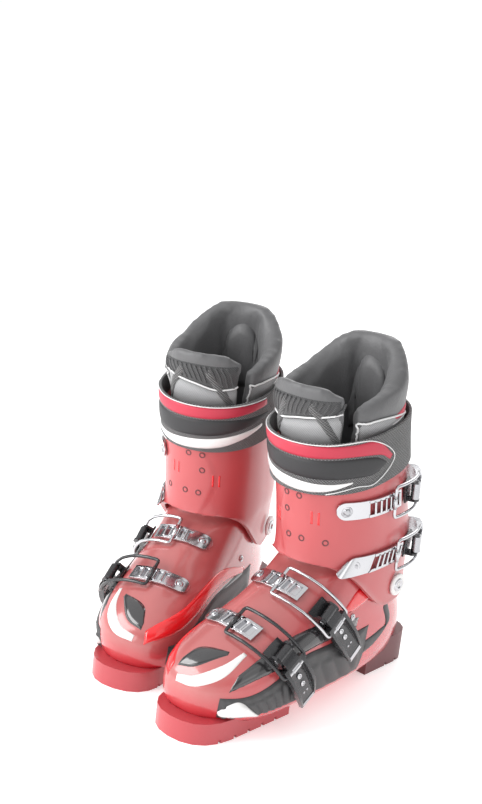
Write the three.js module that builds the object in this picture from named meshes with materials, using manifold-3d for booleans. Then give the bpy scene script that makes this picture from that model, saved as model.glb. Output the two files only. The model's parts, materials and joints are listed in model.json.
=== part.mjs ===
// A pair of four-buckle alpine ski boots, in millimetres.
// +Z is up, the toes point along -Y, and the wearer's left boot stands on the +X side.
// Both boots are built in one boot frame: lateral side +X, toe -Y, ground at Z = 0, middle of the sole
// length at Y = 0. The right boot is the mirror image of the left one.
import * as THREE from "three";
import { mergeVertices } from "three/addons/utils/BufferGeometryUtils.js";
import Module from "manifold-3d";

const wasm = await Module();
wasm.setup();

// ---- Driving dimensions -------------------------------------------------------------------------
const soleLength = 311; // toe lug to heel lug
const forefootWidth = 102; // shell, across the ball of the foot
const soleThickness = 12; // ground to the underside of the shell
const throatRise = 126; // underside of the shell to the bend of the instep
const legRise = 190; // bend of the instep to the top of the leg
const legLean = 13; // forward lean of the leg, degrees
const legFront = 56; // leg axis to the shin side of the leg
const legRear = 61; // leg axis to the calf side of the leg
const legWidth = 96; // across the leg

const toeLugHeight = 19;
const toeLugWidth = 69;
const heelLugHeight = 30;
const heelLugWidth = 69;
const heelBlockLength = 79;
const toeBlockLength = 112;

const shellWall = 4.5;
const cuffWall = 4.2;
const cuffPlay = 2.4; // running clearance between the lower shell and the cuff
const cuffFrontPlay = 7.5; // clearance over the instep, so that the cuff can tip forward
const linerWall = 9; // round the foot
const collarWall = 12; // round the leg
const linerPlay = 2.5; // clearance round the liner
const seat = 0.4; // gap between pieces that are riveted, screwed or laid on each other
const plateSeat = 1.2; // the same under a curved plate
const panelThickness = 1.3;
const panelRib = 1; // how far the ribs of the side panels stand out
const strapThickness = 3;
const strapWidth = 50;
const strapHeight = 204; // the strap's lower edge, at the middle of the sole length
const boardThickness = 7;
const footbedThickness = 4;

const pivotY = 88; // cuff pivot, behind the middle of the sole
const pivotHeight = 97;
const pivotRadius = 11;
const pivotHeadThickness = 3;
const pivotShaftRadius = 5;

const pairSpread = 139; // between the two boots' soles, centre to centre
const rightSetback = 31; // how far the right boot stands behind the left one
const toeIn = 9.6; // degrees that each boot turns inwards

const ladderThickness = 2;
const ladderHalfWidth = 8.5;
const toothHeight = 2;
const toothPitch = 7;
const basePlateThickness = 2;
const hingeHeight = 9.4; // hinge pin above the shell that the buckle sits on
const pinRadius = 2;
const pinPlay = 0.35;
const knuckleRadius = 4.1;
const knuckleHalfWidth = 7.8;
const earThickness = 2.2;
const leverLength = 56;
const leverHalfWidth = 12.4;
const leverUnderside = 6.8; // lever above the shell
const leverThickness = 6.2;
const bailReach = 13; // hinge pin to the bail's pin, along the lever
const bailWire = 3.2;
const barGap = 1.7; // cross bar above the ladder's plate

const around = 26; // points round a shell
const shellLevels = 11; // rows up the lower shell
const degree = Math.PI / 180;

// ---- The outer form -----------------------------------------------------------------------------
// The boot's form is a stack of rings. Foot rings are given as shares of the sole length, the forefoot
// width and the throat rise; leg rings follow the leaning leg axis.
const halfSole = soleLength / 2;
const halfWidth = forefootWidth / 2;
const throatHeight = soleThickness + throatRise;

function footRing(rise, rake, front, rear, centre, lateral, medial, squareness, toeBend) {
  const centreY = centre * halfSole;
  return {
    height: soleThickness + rise * throatRise,
    rake: rake * degree,
    centre: centreY,
    front: centreY - front * halfSole,
    rear: rear * halfSole - centreY,
    lateral: lateral * halfWidth,
    medial: medial * halfWidth,
    squareness,
    toeBend,
  };
}

function legRing(share, depthGain, widthShare) {
  const rise = share * legRise;
  return {
    height: throatHeight + rise,
    rake: legLean * degree,
    centre: 0.35 * halfSole - rise * Math.tan(legLean * degree),
    front: legFront,
    rear: legRear + depthGain,
    lateral: (legWidth / 2) * (widthShare + 0.02),
    medial: (legWidth / 2) * (widthShare - 0.02),
    squareness: 2.2,
    toeBend: 0,
  };
}

const rings = [
  footRing(0.0, 0, -0.85, 0.92, -0.38, 0.82, 0.78, 2.5, 7),
  footRing(0.06, 0, -0.91, 0.955, -0.38, 0.93, 0.87, 2.5, 7),
  footRing(0.17, 0, -0.93, 0.97, -0.38, 1.01, 0.93, 2.5, 7),
  footRing(0.28, 0, -0.915, 0.965, -0.35, 1.02, 0.94, 2.5, 6.5),
  footRing(0.38, 0, -0.85, 0.95, -0.28, 0.99, 0.91, 2.45, 6),
  footRing(0.46, 0, -0.75, 0.93, -0.18, 0.95, 0.87, 2.4, 5),
  footRing(0.54, 0, -0.61, 0.91, -0.05, 0.91, 0.83, 2.4, 4),
  footRing(0.62, 0, -0.46, 0.89, 0.08, 0.88, 0.81, 2.35, 2),
  footRing(0.73, 1, -0.31, 0.87, 0.2, 0.86, 0.8, 2.3, 1),
  footRing(0.86, 4, -0.17, 0.85, 0.3, 0.86, 0.81, 2.25, 0),
  footRing(1.0, 9, -0.06, 0.82, 0.35, 0.88, 0.84, 2.2, 0),
  legRing(0.25, 4, 0.94),
  legRing(0.5, 0, 0.97),
  legRing(0.75, 0, 1.0),
  legRing(1.0, 1, 1.03),
];
const lastRing = rings.length - 1;

// One column of the ring table at the fractional ring number v, on a smooth curve through the rings.
function ringValue(name, v) {
  const i = Math.min(Math.max(Math.floor(v), 0), lastRing - 1);
  const t = v - i;
  const at = (k) => rings[Math.min(Math.max(k, 0), lastRing)][name];
  const [a, b, c, d] = [at(i - 1), at(i), at(i + 1), at(i + 2)];
  return b + 0.5 * t * (c - a + t * (2 * a - 5 * b + 4 * c - d + t * (3 * (b - c) + d - a)));
}

// A point of the outer form. turn runs round the boot: 0 at the toe, 90 degrees at the lateral side,
// 180 at the heel and 270 at the medial side.
function formPoint(v, turn) {
  const c = Math.cos(turn);
  const s = Math.sin(turn);
  const n = ringValue("squareness", v);
  const stretch = (Math.abs(c) ** n + Math.abs(s) ** n) ** (-1 / n);
  const along = -c * stretch * ringValue(c > 0 ? "front" : "rear", v);
  const toeShare = Math.max(c * stretch, 0);
  const halfWidth = ringValue(s > 0 ? "lateral" : "medial", v);
  const x = s * stretch * halfWidth - ringValue("toeBend", v) * toeShare ** 2;
  const rake = ringValue("rake", v);
  return new THREE.Vector3(
    x,
    ringValue("centre", v) + along * Math.cos(rake),
    ringValue("height", v) + along * Math.sin(rake),
  );
}

// A point of the form moved out along its normal by grow.
function skin(v, turn, grow = 0) {
  const dv = 0.05;
  const du = 0.03;
  const low = Math.max(v - dv, 0);
  const high = Math.min(v + dv, lastRing);
  const up = formPoint(high, turn).sub(formPoint(low, turn));
  const round = formPoint(v, turn + du).sub(formPoint(v, turn - du));
  return formPoint(v, turn).addScaledVector(round.cross(up).normalize(), grow);
}

// The ring number at which the grown form crosses the height that limit(y) gives, at this turn.
function ringAtHeight(turn, grow, limit) {
  let low = 0;
  let high = lastRing;
  for (let i = 0; i < 30; i++) {
    const middle = (low + high) / 2;
    const p = skin(middle, turn, grow);
    if (p.z < limit(p.y, turn)) low = middle;
    else high = middle;
  }
  return (low + high) / 2;
}

// ---- Solids ---------------------------------------------------------------------------------------
function signedVolume(geometry) {
  const p = geometry.getAttribute("position");
  const index = geometry.index.array;
  const [a, b, c] = [new THREE.Vector3(), new THREE.Vector3(), new THREE.Vector3()];
  let volume = 0;
  for (let i = 0; i < index.length; i += 3) {
    a.fromBufferAttribute(p, index[i]);
    b.fromBufferAttribute(p, index[i + 1]);
    c.fromBufferAttribute(p, index[i + 2]);
    volume += a.dot(b.cross(c)) / 6;
  }
  return volume;
}

// A closed surface through rows of points, each row a closed loop. With looped, the last row joins the
// first one; otherwise the first and last rows are capped.
function loft(rows, looped = false) {
  const n = rows[0].length;
  const positions = rows.flat().flatMap((p) => [p.x, p.y, p.z]);
  const index = [];
  const bands = looped ? rows.length : rows.length - 1;
  for (let i = 0; i < bands; i++) {
    const below = i * n;
    const above = ((i + 1) % rows.length) * n;
    for (let j = 0; j < n; j++) {
      const next = (j + 1) % n;
      index.push(below + j, below + next, above + next, below + j, above + next, above + j);
    }
  }
  if (!looped) {
    for (const [row, first, flip] of [[rows[0], 0, true], [rows.at(-1), (rows.length - 1) * n, false]]) {
      const middle = row.reduce((sum, p) => sum.add(p), new THREE.Vector3()).divideScalar(n);
      const hub = positions.length / 3;
      positions.push(middle.x, middle.y, middle.z);
      for (let j = 0; j < n; j++) {
        const pair = [first + j, first + ((j + 1) % n)];
        index.push(hub, ...(flip ? pair.reverse() : pair));
      }
    }
  }
  const geometry = new THREE.BufferGeometry();
  geometry.setAttribute("position", new THREE.Float32BufferAttribute(positions, 3));
  geometry.setIndex(index);
  if (signedVolume(geometry) < 0) geometry.setIndex(index.reverse());
  return geometry;
}

// A mesh's solid for manifold-3d, and back.
function solid(geometry) {
  const bare = (geometry.index ? geometry.toNonIndexed() : geometry).clone();
  bare.deleteAttribute("normal");
  bare.deleteAttribute("uv");
  const merged = mergeVertices(bare, 1e-4);
  return new wasm.Manifold(
    new wasm.Mesh({
      numProp: 3,
      vertProperties: merged.getAttribute("position").array,
      triVerts: new Uint32Array(merged.index.array),
    }),
  );
}

function geometryOf(made) {
  const mesh = made.getMesh();
  const geometry = new THREE.BufferGeometry();
  geometry.setAttribute("position", new THREE.BufferAttribute(mesh.vertProperties, 3));
  geometry.setIndex(new THREE.BufferAttribute(mesh.triVerts, 1));
  return geometry;
}

const turns = (count) => Array.from({ length: count }, (_, j) => (j / count) * 2 * Math.PI);
function steps(from, to, count) {
  return Array.from({ length: count + 1 }, (_, i) => from + ((to - from) * i) / count);
}

// A ring-shaped wall round the boot, between two edges and two growths.
function wall(lowEdge, highEdge, inner, outer, levels, count = around) {
  const row = (grow, share) =>
    turns(count).map((turn) => {
      const low = ringAtHeight(turn, grow(turn), lowEdge);
      const high = ringAtHeight(turn, grow(turn), highEdge);
      return skin(low + (high - low) * share, turn, grow(turn));
    });
  const shares = steps(0, 1, levels);
  return loft([...shares.map((s) => row(outer, s)), ...shares.reverse().map((s) => row(inner, s))], true);
}

// A cup: the boot's form from a closed underside up to an open edge, with a floor inside.
function cup(base, edge, outer, thickness, floorHeight, levels) {
  const inner = outer - thickness;
  const outerRow = (share) =>
    turns(around).map((turn) => {
      const high = ringAtHeight(turn, outer, edge);
      return skin(base + (high - base) * share, turn, outer);
    });
  const innerRow = (share) =>
    turns(around).map((turn) => {
      const low = ringAtHeight(turn, inner, () => floorHeight);
      const high = ringAtHeight(turn, inner, edge);
      return skin(low + (high - low) * share, turn, inner);
    });
  const shares = steps(0, 1, levels);
  return loft([...shares.map(outerRow), ...shares.reverse().map(innerRow)]);
}

// A patch of the form between two turns, as a solid with its own thickness.
function patch(fromTurn, toTurn, lowEdge, highEdge, inner, outer, columns, levels) {
  const columnsOf = (grow, flip) =>
    steps(fromTurn, toTurn, columns).map((turn) => {
      const low = ringAtHeight(turn, grow(turn, 0), lowEdge);
      const high = ringAtHeight(turn, grow(turn, 1), highEdge);
      const shares = steps(0, 1, levels);
      return (flip ? shares.reverse() : shares).map((s) => skin(low + (high - low) * s, turn, grow(turn, s)));
    });
  const outside = columnsOf(outer, false);
  const inside = columnsOf(inner, true);
  return loft(outside.map((column, i) => [...column, ...inside[i]]));
}

// A flat slab of a horizontal outline.
function slab(outline, bottom, top) {
  const options = { depth: top - bottom, bevelEnabled: false, curveSegments: 5 };
  const geometry = new THREE.ExtrudeGeometry(outline, options);
  return geometry.translate(0, 0, bottom);
}

// ---- Materials ------------------------------------------------------------------------------------
function finish(color, roughness, metalness) {
  return new THREE.MeshStandardMaterial({ color, roughness, metalness });
}
const redPlastic = finish(0xd23a44, 0.25, 0);
const solePlastic = finish(0xb52c38, 0.4, 0);
const blackPlastic = finish(0x2c2b2d, 0.45, 0);
const chrome = finish(0xd8d8da, 0.15, 1);
const blackMetal = finish(0x3a3a3c, 0.35, 0.6);
const linerLeather = finish(0x4a494b, 0.6, 0);
const linerFoam = finish(0x6a6a6c, 0.8, 0);
const webbing = finish(0x606062, 0.8, 0);

function part(name, geometry, material) {
  const mesh = new THREE.Mesh(geometry, material);
  mesh.name = name;
  return mesh;
}

// ---- Edges of the shells --------------------------------------------------------------------------
const leanSlope = Math.tan(legLean * degree);
const cuffFrontEdge = throatHeight - 8;
const shellRim = (y) => throatHeight + 22 - 0.12 * (y + 10); // the lower shell's top, under the cuff
const strapHem = (y) => strapHeight + leanSlope * y;
const strapRim = (y) => strapHem(y) + strapWidth;
const cuffRim = (y) => strapHem(y) + 0.6 * strapWidth;

// 0 below from, 1 above to, and a smooth step between them.
function smooth(from, to, value) {
  const t = Math.min(Math.max((value - from) / (to - from), 0), 1);
  return t * t * (3 - 2 * t);
}

// The cuff's lower edge: high over the instep, low round the pivots, a little higher at the heel.
const pivotLobe = 17; // how far the cuff reaches below its pivot
function cuffHem(y) {
  const low = pivotHeight - pivotLobe + 10 * smooth(pivotY + 14, halfSole - 10, y);
  return cuffFrontEdge + (low - cuffFrontEdge) * smooth(pivotY - 103, pivotY - 13, y);
}

// The cuff stands further off the shell over the instep than at its sides.
const frontShare = (turn) => Math.max(Math.cos(turn), 0) ** 1.5;
const cuffInner = (turn) => cuffPlay + (cuffFrontPlay - cuffPlay) * frontShare(turn);
const cuffOuter = (turn) => cuffInner(turn) + cuffWall;

// ---- Lower shell and soles ------------------------------------------------------------------------
function lowerShell() {
  return cup(0, shellRim, 0, shellWall, soleThickness + shellWall, shellLevels);
}

// The body of the shell, grown by the seat gap, that is cut out of the soles.
function shellCutter() {
  const point = (turn, share) => skin(ringAtHeight(turn, 0, shellRim) * share, turn, seat);
  const row = (share) => turns(around).map((turn) => point(turn, share));
  const rows = steps(0, 1, shellLevels).map(row);
  const base = rows[0].map((p) => p.clone().setZ(soleThickness - seat));
  return solid(loft([base, ...rows]));
}

function toeOutline() {
  const w = toeLugWidth / 2;
  const tip = -halfSole;
  const back = tip + toeBlockLength;
  const shape = new THREE.Shape();
  shape.moveTo(-w + 3, back);
  shape.lineTo(w + 3, back);
  shape.lineTo(w + 1, tip + 38);
  shape.bezierCurveTo(w, tip + 14, w * 0.62, tip, -2, tip);
  shape.bezierCurveTo(-w * 0.72, tip, -w - 1, tip + 14, -w - 1, tip + 38);
  shape.closePath();
  return shape;
}

function heelOutline() {
  const w = heelLugWidth / 2;
  const front = halfSole - heelBlockLength;
  const shape = new THREE.Shape();
  shape.moveTo(-w, front);
  shape.lineTo(w, front);
  shape.lineTo(w, halfSole - 30);
  shape.bezierCurveTo(w, halfSole - 9, w * 0.62, halfSole, 0, halfSole);
  shape.bezierCurveTo(-w * 0.62, halfSole, -w, halfSole - 9, -w, halfSole - 30);
  shape.closePath();
  return shape;
}

const groove = 3; // depth and width of the tread grooves
function treadGrooves(count, from, spacing) {
  return Array.from({ length: count }, (_, i) => {
    const cut = new THREE.BoxGeometry(2 * forefootWidth, groove, 2 * groove);
    return solid(cut.translate(0, from + i * spacing, 0));
  });
}

function sole(outline, lugHeight, grooves) {
  let made = solid(slab(outline, 0, lugHeight)).subtract(shellCutter());
  for (const cut of grooves) made = made.subtract(cut);
  return geometryOf(made.decompose().reduce((a, b) => (a.volume() > b.volume() ? a : b)));
}

// ---- The inside -----------------------------------------------------------------------------------
const linerOuter = -(shellWall + linerPlay);
const boardTop = soleThickness + shellWall + seat + boardThickness;
const linerFloor = boardTop + seat + 4;

// A slab that follows the foot outline inside the shell, between two heights.
function footSlab(bottom, top, inset) {
  const row = (height) =>
    turns(20).map((turn) => skin(ringAtHeight(turn, -inset, () => bottom), turn, -inset).setZ(height));
  return loft([row(bottom), row(top)]);
}

const linerSplit = (y) => pivotHeight - 6 - 0.25 * (y - pivotY);
const collarHem = (y) => pivotHeight - (y < pivotY ? 0.37 : 0.25) * (y - pivotY);

function linerFoot() {
  const outer = linerOuter;
  const base = ringAtHeight(Math.PI / 2, outer, () => boardTop + seat);
  const outerRow = (share) =>
    turns(24).map((turn) => {
      const low = ringAtHeight(turn, outer, () => boardTop + seat);
      const high = ringAtHeight(turn, outer, linerSplit);
      return skin(low + (high - low) * share, turn, outer);
    });
  const inner = outer - linerWall;
  const innerRow = (share) =>
    turns(24).map((turn) => {
      const low = ringAtHeight(turn, inner, () => linerFloor);
      const high = ringAtHeight(turn, inner, linerSplit);
      return skin(low + (high - low) * share, turn, inner);
    });
  const shares = steps(0, 1, 5);
  return loft([...shares.map(outerRow), ...shares.reverse().map(innerRow)]);
}

// The collar wraps the leg from the ankle to the calf, and leaves the shin open for the tongue.
const legTop = throatHeight + legRise;
const collarOpen = 54 * degree;
const collarTop = (y) => legTop + 12 - 0.85 * Math.max(62 - y, 0);
// Above the lower shell the liner fills out to the cuff.
const legPlay = 2.5; // more clearance for the parts of the liner that tip with the cuff
const padBulge = 5; // the pad round the top stands out over the cuff
function fillOut(share) {
  const inShell = linerOuter - legPlay;
  const inCuff = inShell + (cuffPlay - 1.2 - inShell) * smooth(0.42, 0.65, share);
  return inCuff + padBulge * smooth(0.84, 1, share);
}

function linerCollar() {
  const inner = (turn, share) => fillOut(share) - collarWall + legPlay * (1 - smooth(0.42, 0.65, share));
  const outer = (turn, share) => fillOut(share);
  return patch(collarOpen, 2 * Math.PI - collarOpen, collarHem, collarTop, inner, outer, 18, 7);
}

const tongueHem = (y) => pivotHeight + 26 - 0.37 * (y - pivotY);
const tongueTop = () => legTop - 30;
const tongueHalfTurn = 46 * degree;
const tongueThickness = 9;
function linerTongue() {
  const bulge = (share) => 3 * smooth(0.5, 0.8, share) - padBulge * smooth(0.84, 1, share);
  const outer = (turn, share) => fillOut(share) + bulge(share);
  const inner = (turn, share) => outer(turn, share) - tongueThickness;
  return patch(-tongueHalfTurn, tongueHalfTurn, tongueHem, tongueTop, inner, outer, 10, 7);
}

// ---- Cuff and strap -------------------------------------------------------------------------------
function cuff() {
  return wall(cuffHem, cuffRim, cuffInner, cuffOuter, 7);
}

const strapInner = (turn) => cuffOuter(turn) + plateSeat;
const strapOuter = (turn) => strapInner(turn) + strapThickness;
function powerStrap() {
  return wall(strapHem, strapRim, strapInner, strapOuter, 2);
}

// ---- Pivot bolts ----------------------------------------------------------------------------------
// How far the grown form reaches sideways round the pivot, on one side.
function sideReach(side, grow) {
  let reach = 0;
  for (const turn of steps(80 * degree, 160 * degree, 80)) {
    for (const height of [pivotHeight - pivotRadius, pivotHeight, pivotHeight + pivotRadius]) {
      const at = side > 0 ? turn : -turn;
      const p = skin(ringAtHeight(at, grow, () => height), at, grow);
      if (Math.abs(p.y - pivotY) < pivotRadius) reach = Math.max(reach, Math.abs(p.x));
    }
  }
  return reach;
}

function rod(radius, from, to, sides = 20) {
  const geometry = new THREE.CylinderGeometry(radius, radius, to - from, sides);
  return geometry.rotateZ(Math.PI / 2).translate((from + to) / 2, pivotY, pivotHeight);
}

function pivotBolt(side) {
  const face = sideReach(side, cuffPlay + cuffWall) + seat;
  const inside = sideReach(side, -shellWall) + 0.3;
  const head = rod(pivotRadius, face, face + pivotHeadThickness, 24);
  const shaft = rod(pivotShaftRadius, inside, face + 0.5);
  const socket = rod(pivotRadius * 0.36, face + pivotHeadThickness - 2, face + pivotHeadThickness + 1, 6);
  const made = geometryOf(solid(head).add(solid(shaft)).subtract(solid(socket)));
  return side > 0 ? made : mirrored(made);
}

function mirrored(geometry) {
  const flipped = geometry.clone().scale(-1, 1, 1);
  flipped.setIndex([...flipped.index.array].reverse());
  return flipped;
}

// The same bore through both sides of a shell.
function withPivotBores(geometry, play) {
  return geometryOf(solid(geometry).subtract(solid(rod(pivotShaftRadius + play, -halfSole, halfSole))));
}

// ---- Side panels ----------------------------------------------------------------------------------
const panelHem = () => toeLugHeight + 1.5;
const panelRim = (y) => soleThickness + 28 + 24 * smooth(-0.78 * halfSole, -0.24 * halfSole, y);
const panelColumns = 16;
function sidePanel(fromTurn, toTurn) {
  const inner = () => plateSeat;
  const ribStep = (toTurn - fromTurn) / panelColumns;
  const outer = (turn) => {
    const column = Math.round((turn - fromTurn) / ribStep);
    return plateSeat + panelThickness + (column % 2 ? panelRib : 0);
  };
  return patch(fromTurn, toTurn, panelHem, panelRim, inner, outer, panelColumns, 4);
}

// ---- Buckles --------------------------------------------------------------------------------------
// A buckle lies across the boot in a plane of its own. along is the direction of its hinge pins, and
// arc is the distance along the shell's skin in that plane: 0 at the hinge, below 0 towards the ladder
// and above 0 towards the lever's tip.
function buckleSite({ height, tilt, hingeTurn, grow }) {
  const origin = skin(ringAtHeight(0, grow(0), () => height), 0, grow(0));
  const along = new THREE.Vector3(0, Math.cos(tilt), Math.sin(tilt));
  const at = (turn, height, shift) => {
    const g = grow(turn) + height;
    let low = 0;
    let high = lastRing;
    for (let i = 0; i < 26; i++) {
      const middle = (low + high) / 2;
      if (skin(middle, turn, g).sub(origin).dot(along) < shift) low = middle;
      else high = middle;
    }
    return skin((low + high) / 2, turn, g);
  };
  const march = (direction) => {
    const table = [[0, hingeTurn]];
    let last = at(hingeTurn, 0, 0);
    for (let i = 1; i <= 45; i++) {
      const turn = hingeTurn + direction * i * 3 * degree;
      const next = at(turn, 0, 0);
      table.push([table.at(-1)[0] + next.distanceTo(last), turn]);
      last = next;
    }
    return table;
  };
  const tables = { 1: march(1), [-1]: march(-1) };
  const turnAt = (arc) => {
    const table = tables[arc < 0 ? -1 : 1];
    const i = Math.max(1, table.findIndex(([length]) => length >= Math.abs(arc)));
    const [[l0, t0], [l1, t1]] = [table[i - 1], table[i]];
    return t0 + ((t1 - t0) * (Math.abs(arc) - l0)) / (l1 - l0);
  };
  const hugging = (arc, height, shift) => at(turnAt(arc), height, shift);
  const straight = (arc, height, shift) => at(turnAt(arc), height, 0).addScaledVector(along, shift);
  return { along, hugging, straight };
}

// A bar along the skin through [arc, underside, top] stations, between two shifts along the pins.
function bar(place, stations, from, to, across = 1) {
  const shifts = steps(from, to, across);
  return loft(
    stations.map(([arc, underside, top]) => [
      ...shifts.map((shift) => place(arc, underside, shift)),
      ...shifts.toReversed().map((shift) => place(arc, top, shift)),
    ]),
  );
}

function pinBetween(a, b, radius, sides = 12) {
  const geometry = new THREE.CylinderGeometry(radius, radius, a.distanceTo(b), sides);
  const turn = new THREE.Quaternion().setFromUnitVectors(
    new THREE.Vector3(0, 1, 0),
    b.clone().sub(a).normalize(),
  );
  return geometry.applyQuaternion(turn).translate(...a.clone().add(b).divideScalar(2).toArray());
}

const joined = (...geometries) => geometryOf(geometries.map(solid).reduce((a, b) => a.add(b)));

// A toothed plate. The bail's cross bar lies at hook, between two teeth.
function ladder(site, [from, to], hook, teethBehind) {
  const top = plateSeat + ladderThickness;
  const stations = [[from, plateSeat, top], [(from + hook) / 2 - toothPitch, plateSeat, top]];
  for (let k = -teethBehind; k <= 1; k++) {
    const start = hook + bailWire / 2 + 1.2 + k * toothPitch;
    stations.push([start, plateSeat, top]);
    stations.push([start + 0.6, plateSeat, top + toothHeight]);
    stations.push([start + 1.8, plateSeat, top + toothHeight]);
    stations.push([start + 2.2, plateSeat, top]);
  }
  stations.push([to, plateSeat, top]);
  return bar(site.hugging, stations.sort((p, q) => p[0] - q[0]), -ladderHalfWidth, ladderHalfWidth, 2);
}

function base(site) {
  const top = plateSeat + basePlateThickness;
  const reach = knuckleHalfWidth + seat + earThickness;
  const plate = bar(site.hugging, steps(-11, 10, 3).map((arc) => [arc, plateSeat, top]), -reach, reach, 2);
  const foot = plateSeat + 0.3;
  const earOutline = [
    [-5, foot, hingeHeight],
    [-2, foot, hingeHeight + 3.4],
    [2, foot, hingeHeight + 3.4],
    [5, foot, hingeHeight],
  ];
  const ear = (side) =>
    bar(
      site.hugging,
      earOutline,
      side > 0 ? knuckleHalfWidth + seat : -reach,
      side > 0 ? reach : -knuckleHalfWidth - seat,
    );
  const pinEnd = reach - 0.4;
  const pinTip = (shift) => site.straight(0, hingeHeight, shift);
  const pin = pinBetween(pinTip(-pinEnd), pinTip(pinEnd), pinRadius);
  return joined(plate, ear(1), ear(-1), pin);
}

function lever(site) {
  const top = leverUnderside + leverThickness;
  const reach = bailReach + 5;
  const hinge = (shift) => site.straight(0, hingeHeight, shift);
  const bailPin = (shift) => site.straight(bailReach, hingeHeight + 0.6, shift);
  const neck = [
    [0.5, hingeHeight - 2.5, hingeHeight + 2.5],
    [5, leverUnderside + 0.5, top],
    [9.5, leverUnderside, top],
  ];
  const body = [8.5, 18, 28, 38, 48, leverLength - 6, leverLength].map((arc) => {
    const thin = Math.max(0, arc - 38) * 0.16;
    return [arc, leverUnderside, top - thin];
  });
  const slot = [reach + 3, 28, 38, 46].map((arc) => [arc, 0, top + 4]);
  const whole = [
    pinBetween(hinge(-knuckleHalfWidth), hinge(knuckleHalfWidth), knuckleRadius, 16),
    bar(site.straight, neck, -knuckleHalfWidth, knuckleHalfWidth),
    bar(site.straight, body, -leverHalfWidth, leverHalfWidth),
  ].map(solid);
  const cuts = [
    bar(site.straight, slot, -4.5, 4.5),
    pinBetween(hinge(-30), hinge(30), pinRadius + pinPlay),
    pinBetween(bailPin(-30), bailPin(30), bailWire / 2 + pinPlay),
  ].map(solid);
  return geometryOf(cuts.reduce((made, cut) => made.subtract(cut), whole.reduce((a, b) => a.add(b))));
}

function bail(site, hook) {
  const inner = leverHalfWidth + 0.8;
  const outer = inner + bailWire;
  const barHeight = plateSeat + ladderThickness + bailWire / 2 + barGap;
  const pinHeight = hingeHeight + 0.6;
  const count = Math.max(3, Math.round((bailReach - hook) / 12));
  const stations = steps(bailReach + bailWire / 2, hook - bailWire / 2, count).map((arc) => {
    const share = (bailReach - arc) / (bailReach - hook);
    const middle = pinHeight + (barHeight - pinHeight) * Math.min(1, Math.max(0, share)) ** 2;
    return [arc, middle - bailWire / 2, middle + bailWire / 2];
  });
  const pin = (arc, height) => {
    const end = inner + bailWire / 2;
    return pinBetween(site.straight(arc, height, -end), site.straight(arc, height, end), bailWire / 2);
  };
  return joined(
    bar(site.straight, stations, inner, outer),
    bar(site.straight, stations, -outer, -inner),
    pin(bailReach, pinHeight),
    pin(hook, barHeight),
  );
}

// ---- One boot -------------------------------------------------------------------------------------
const onShell = () => 0;
// height is where the buckle's plane meets the front of the shell, and tilt leans the plane.
const buckles = [
  { name: "toe", onCuff: false, height: soleThickness + 0.57 * throatRise, tilt: 33, hingeTurn: 60,
    ladder: [-82, -24], hook: -46, teethBehind: 2 },
  { name: "instep", onCuff: false, height: soleThickness + 0.78 * throatRise, tilt: 40, hingeTurn: 66,
    ladder: [-82, -24], hook: -46, teethBehind: 2 },
  { name: "ankle", onCuff: true, height: throatHeight - 8.5, tilt: 93, hingeTurn: 125, ladder: [-98, -22],
    hook: -37, teethBehind: 4 },
  { name: "calf", onCuff: true, height: throatHeight + 45, tilt: 95, hingeTurn: 123, ladder: [-98, -22],
    hook: -37, teethBehind: 4 },
];

// A group at a pivot, with its local X along the hinge, holding meshes drawn in the boot's frame.
function pivotGroup(name, position, axis, normal, meshes) {
  const group = new THREE.Group();
  group.name = name;
  const y = normal.clone().cross(axis).normalize();
  group.quaternion.setFromRotationMatrix(new THREE.Matrix4().makeBasis(axis, y, axis.clone().cross(y)));
  group.position.copy(position);
  group.updateMatrixWorld();
  for (const mesh of meshes) group.attach(mesh);
  return group;
}

function buckleParts(prefix, spec) {
  const site = buckleSite({
    height: spec.height,
    tilt: spec.tilt * degree,
    hingeTurn: spec.hingeTurn * degree,
    grow: spec.onCuff ? cuffOuter : onShell,
  });
  const mesh = (piece, geometry, material) => part(`${prefix}_${spec.name}_${piece}`, geometry, material);
  const hinge = site.straight(0, hingeHeight, 0);
  const bailPin = site.straight(bailReach, hingeHeight + 0.6, 0);
  const normal = hinge.clone().sub(site.straight(0, 0, 0)).normalize();
  const leverAxis = site.along.clone().negate();
  const leverGroup = pivotGroup(`${prefix}_${spec.name}_lever_pivot`, hinge, leverAxis, normal, [
    mesh("lever", lever(site), blackMetal),
  ]);
  const bailGroup = pivotGroup(`${prefix}_${spec.name}_bail_pivot`, bailPin, site.along, normal, [
    mesh("bail", bail(site, spec.hook), chrome),
  ]);
  leverGroup.attach(bailGroup);
  const toothed = ladder(site, spec.ladder, spec.hook, spec.teethBehind);
  const fixed = [mesh("ladder", toothed, chrome), mesh("base", base(site), blackMetal)];
  return { fixed, leverGroup };
}

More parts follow.
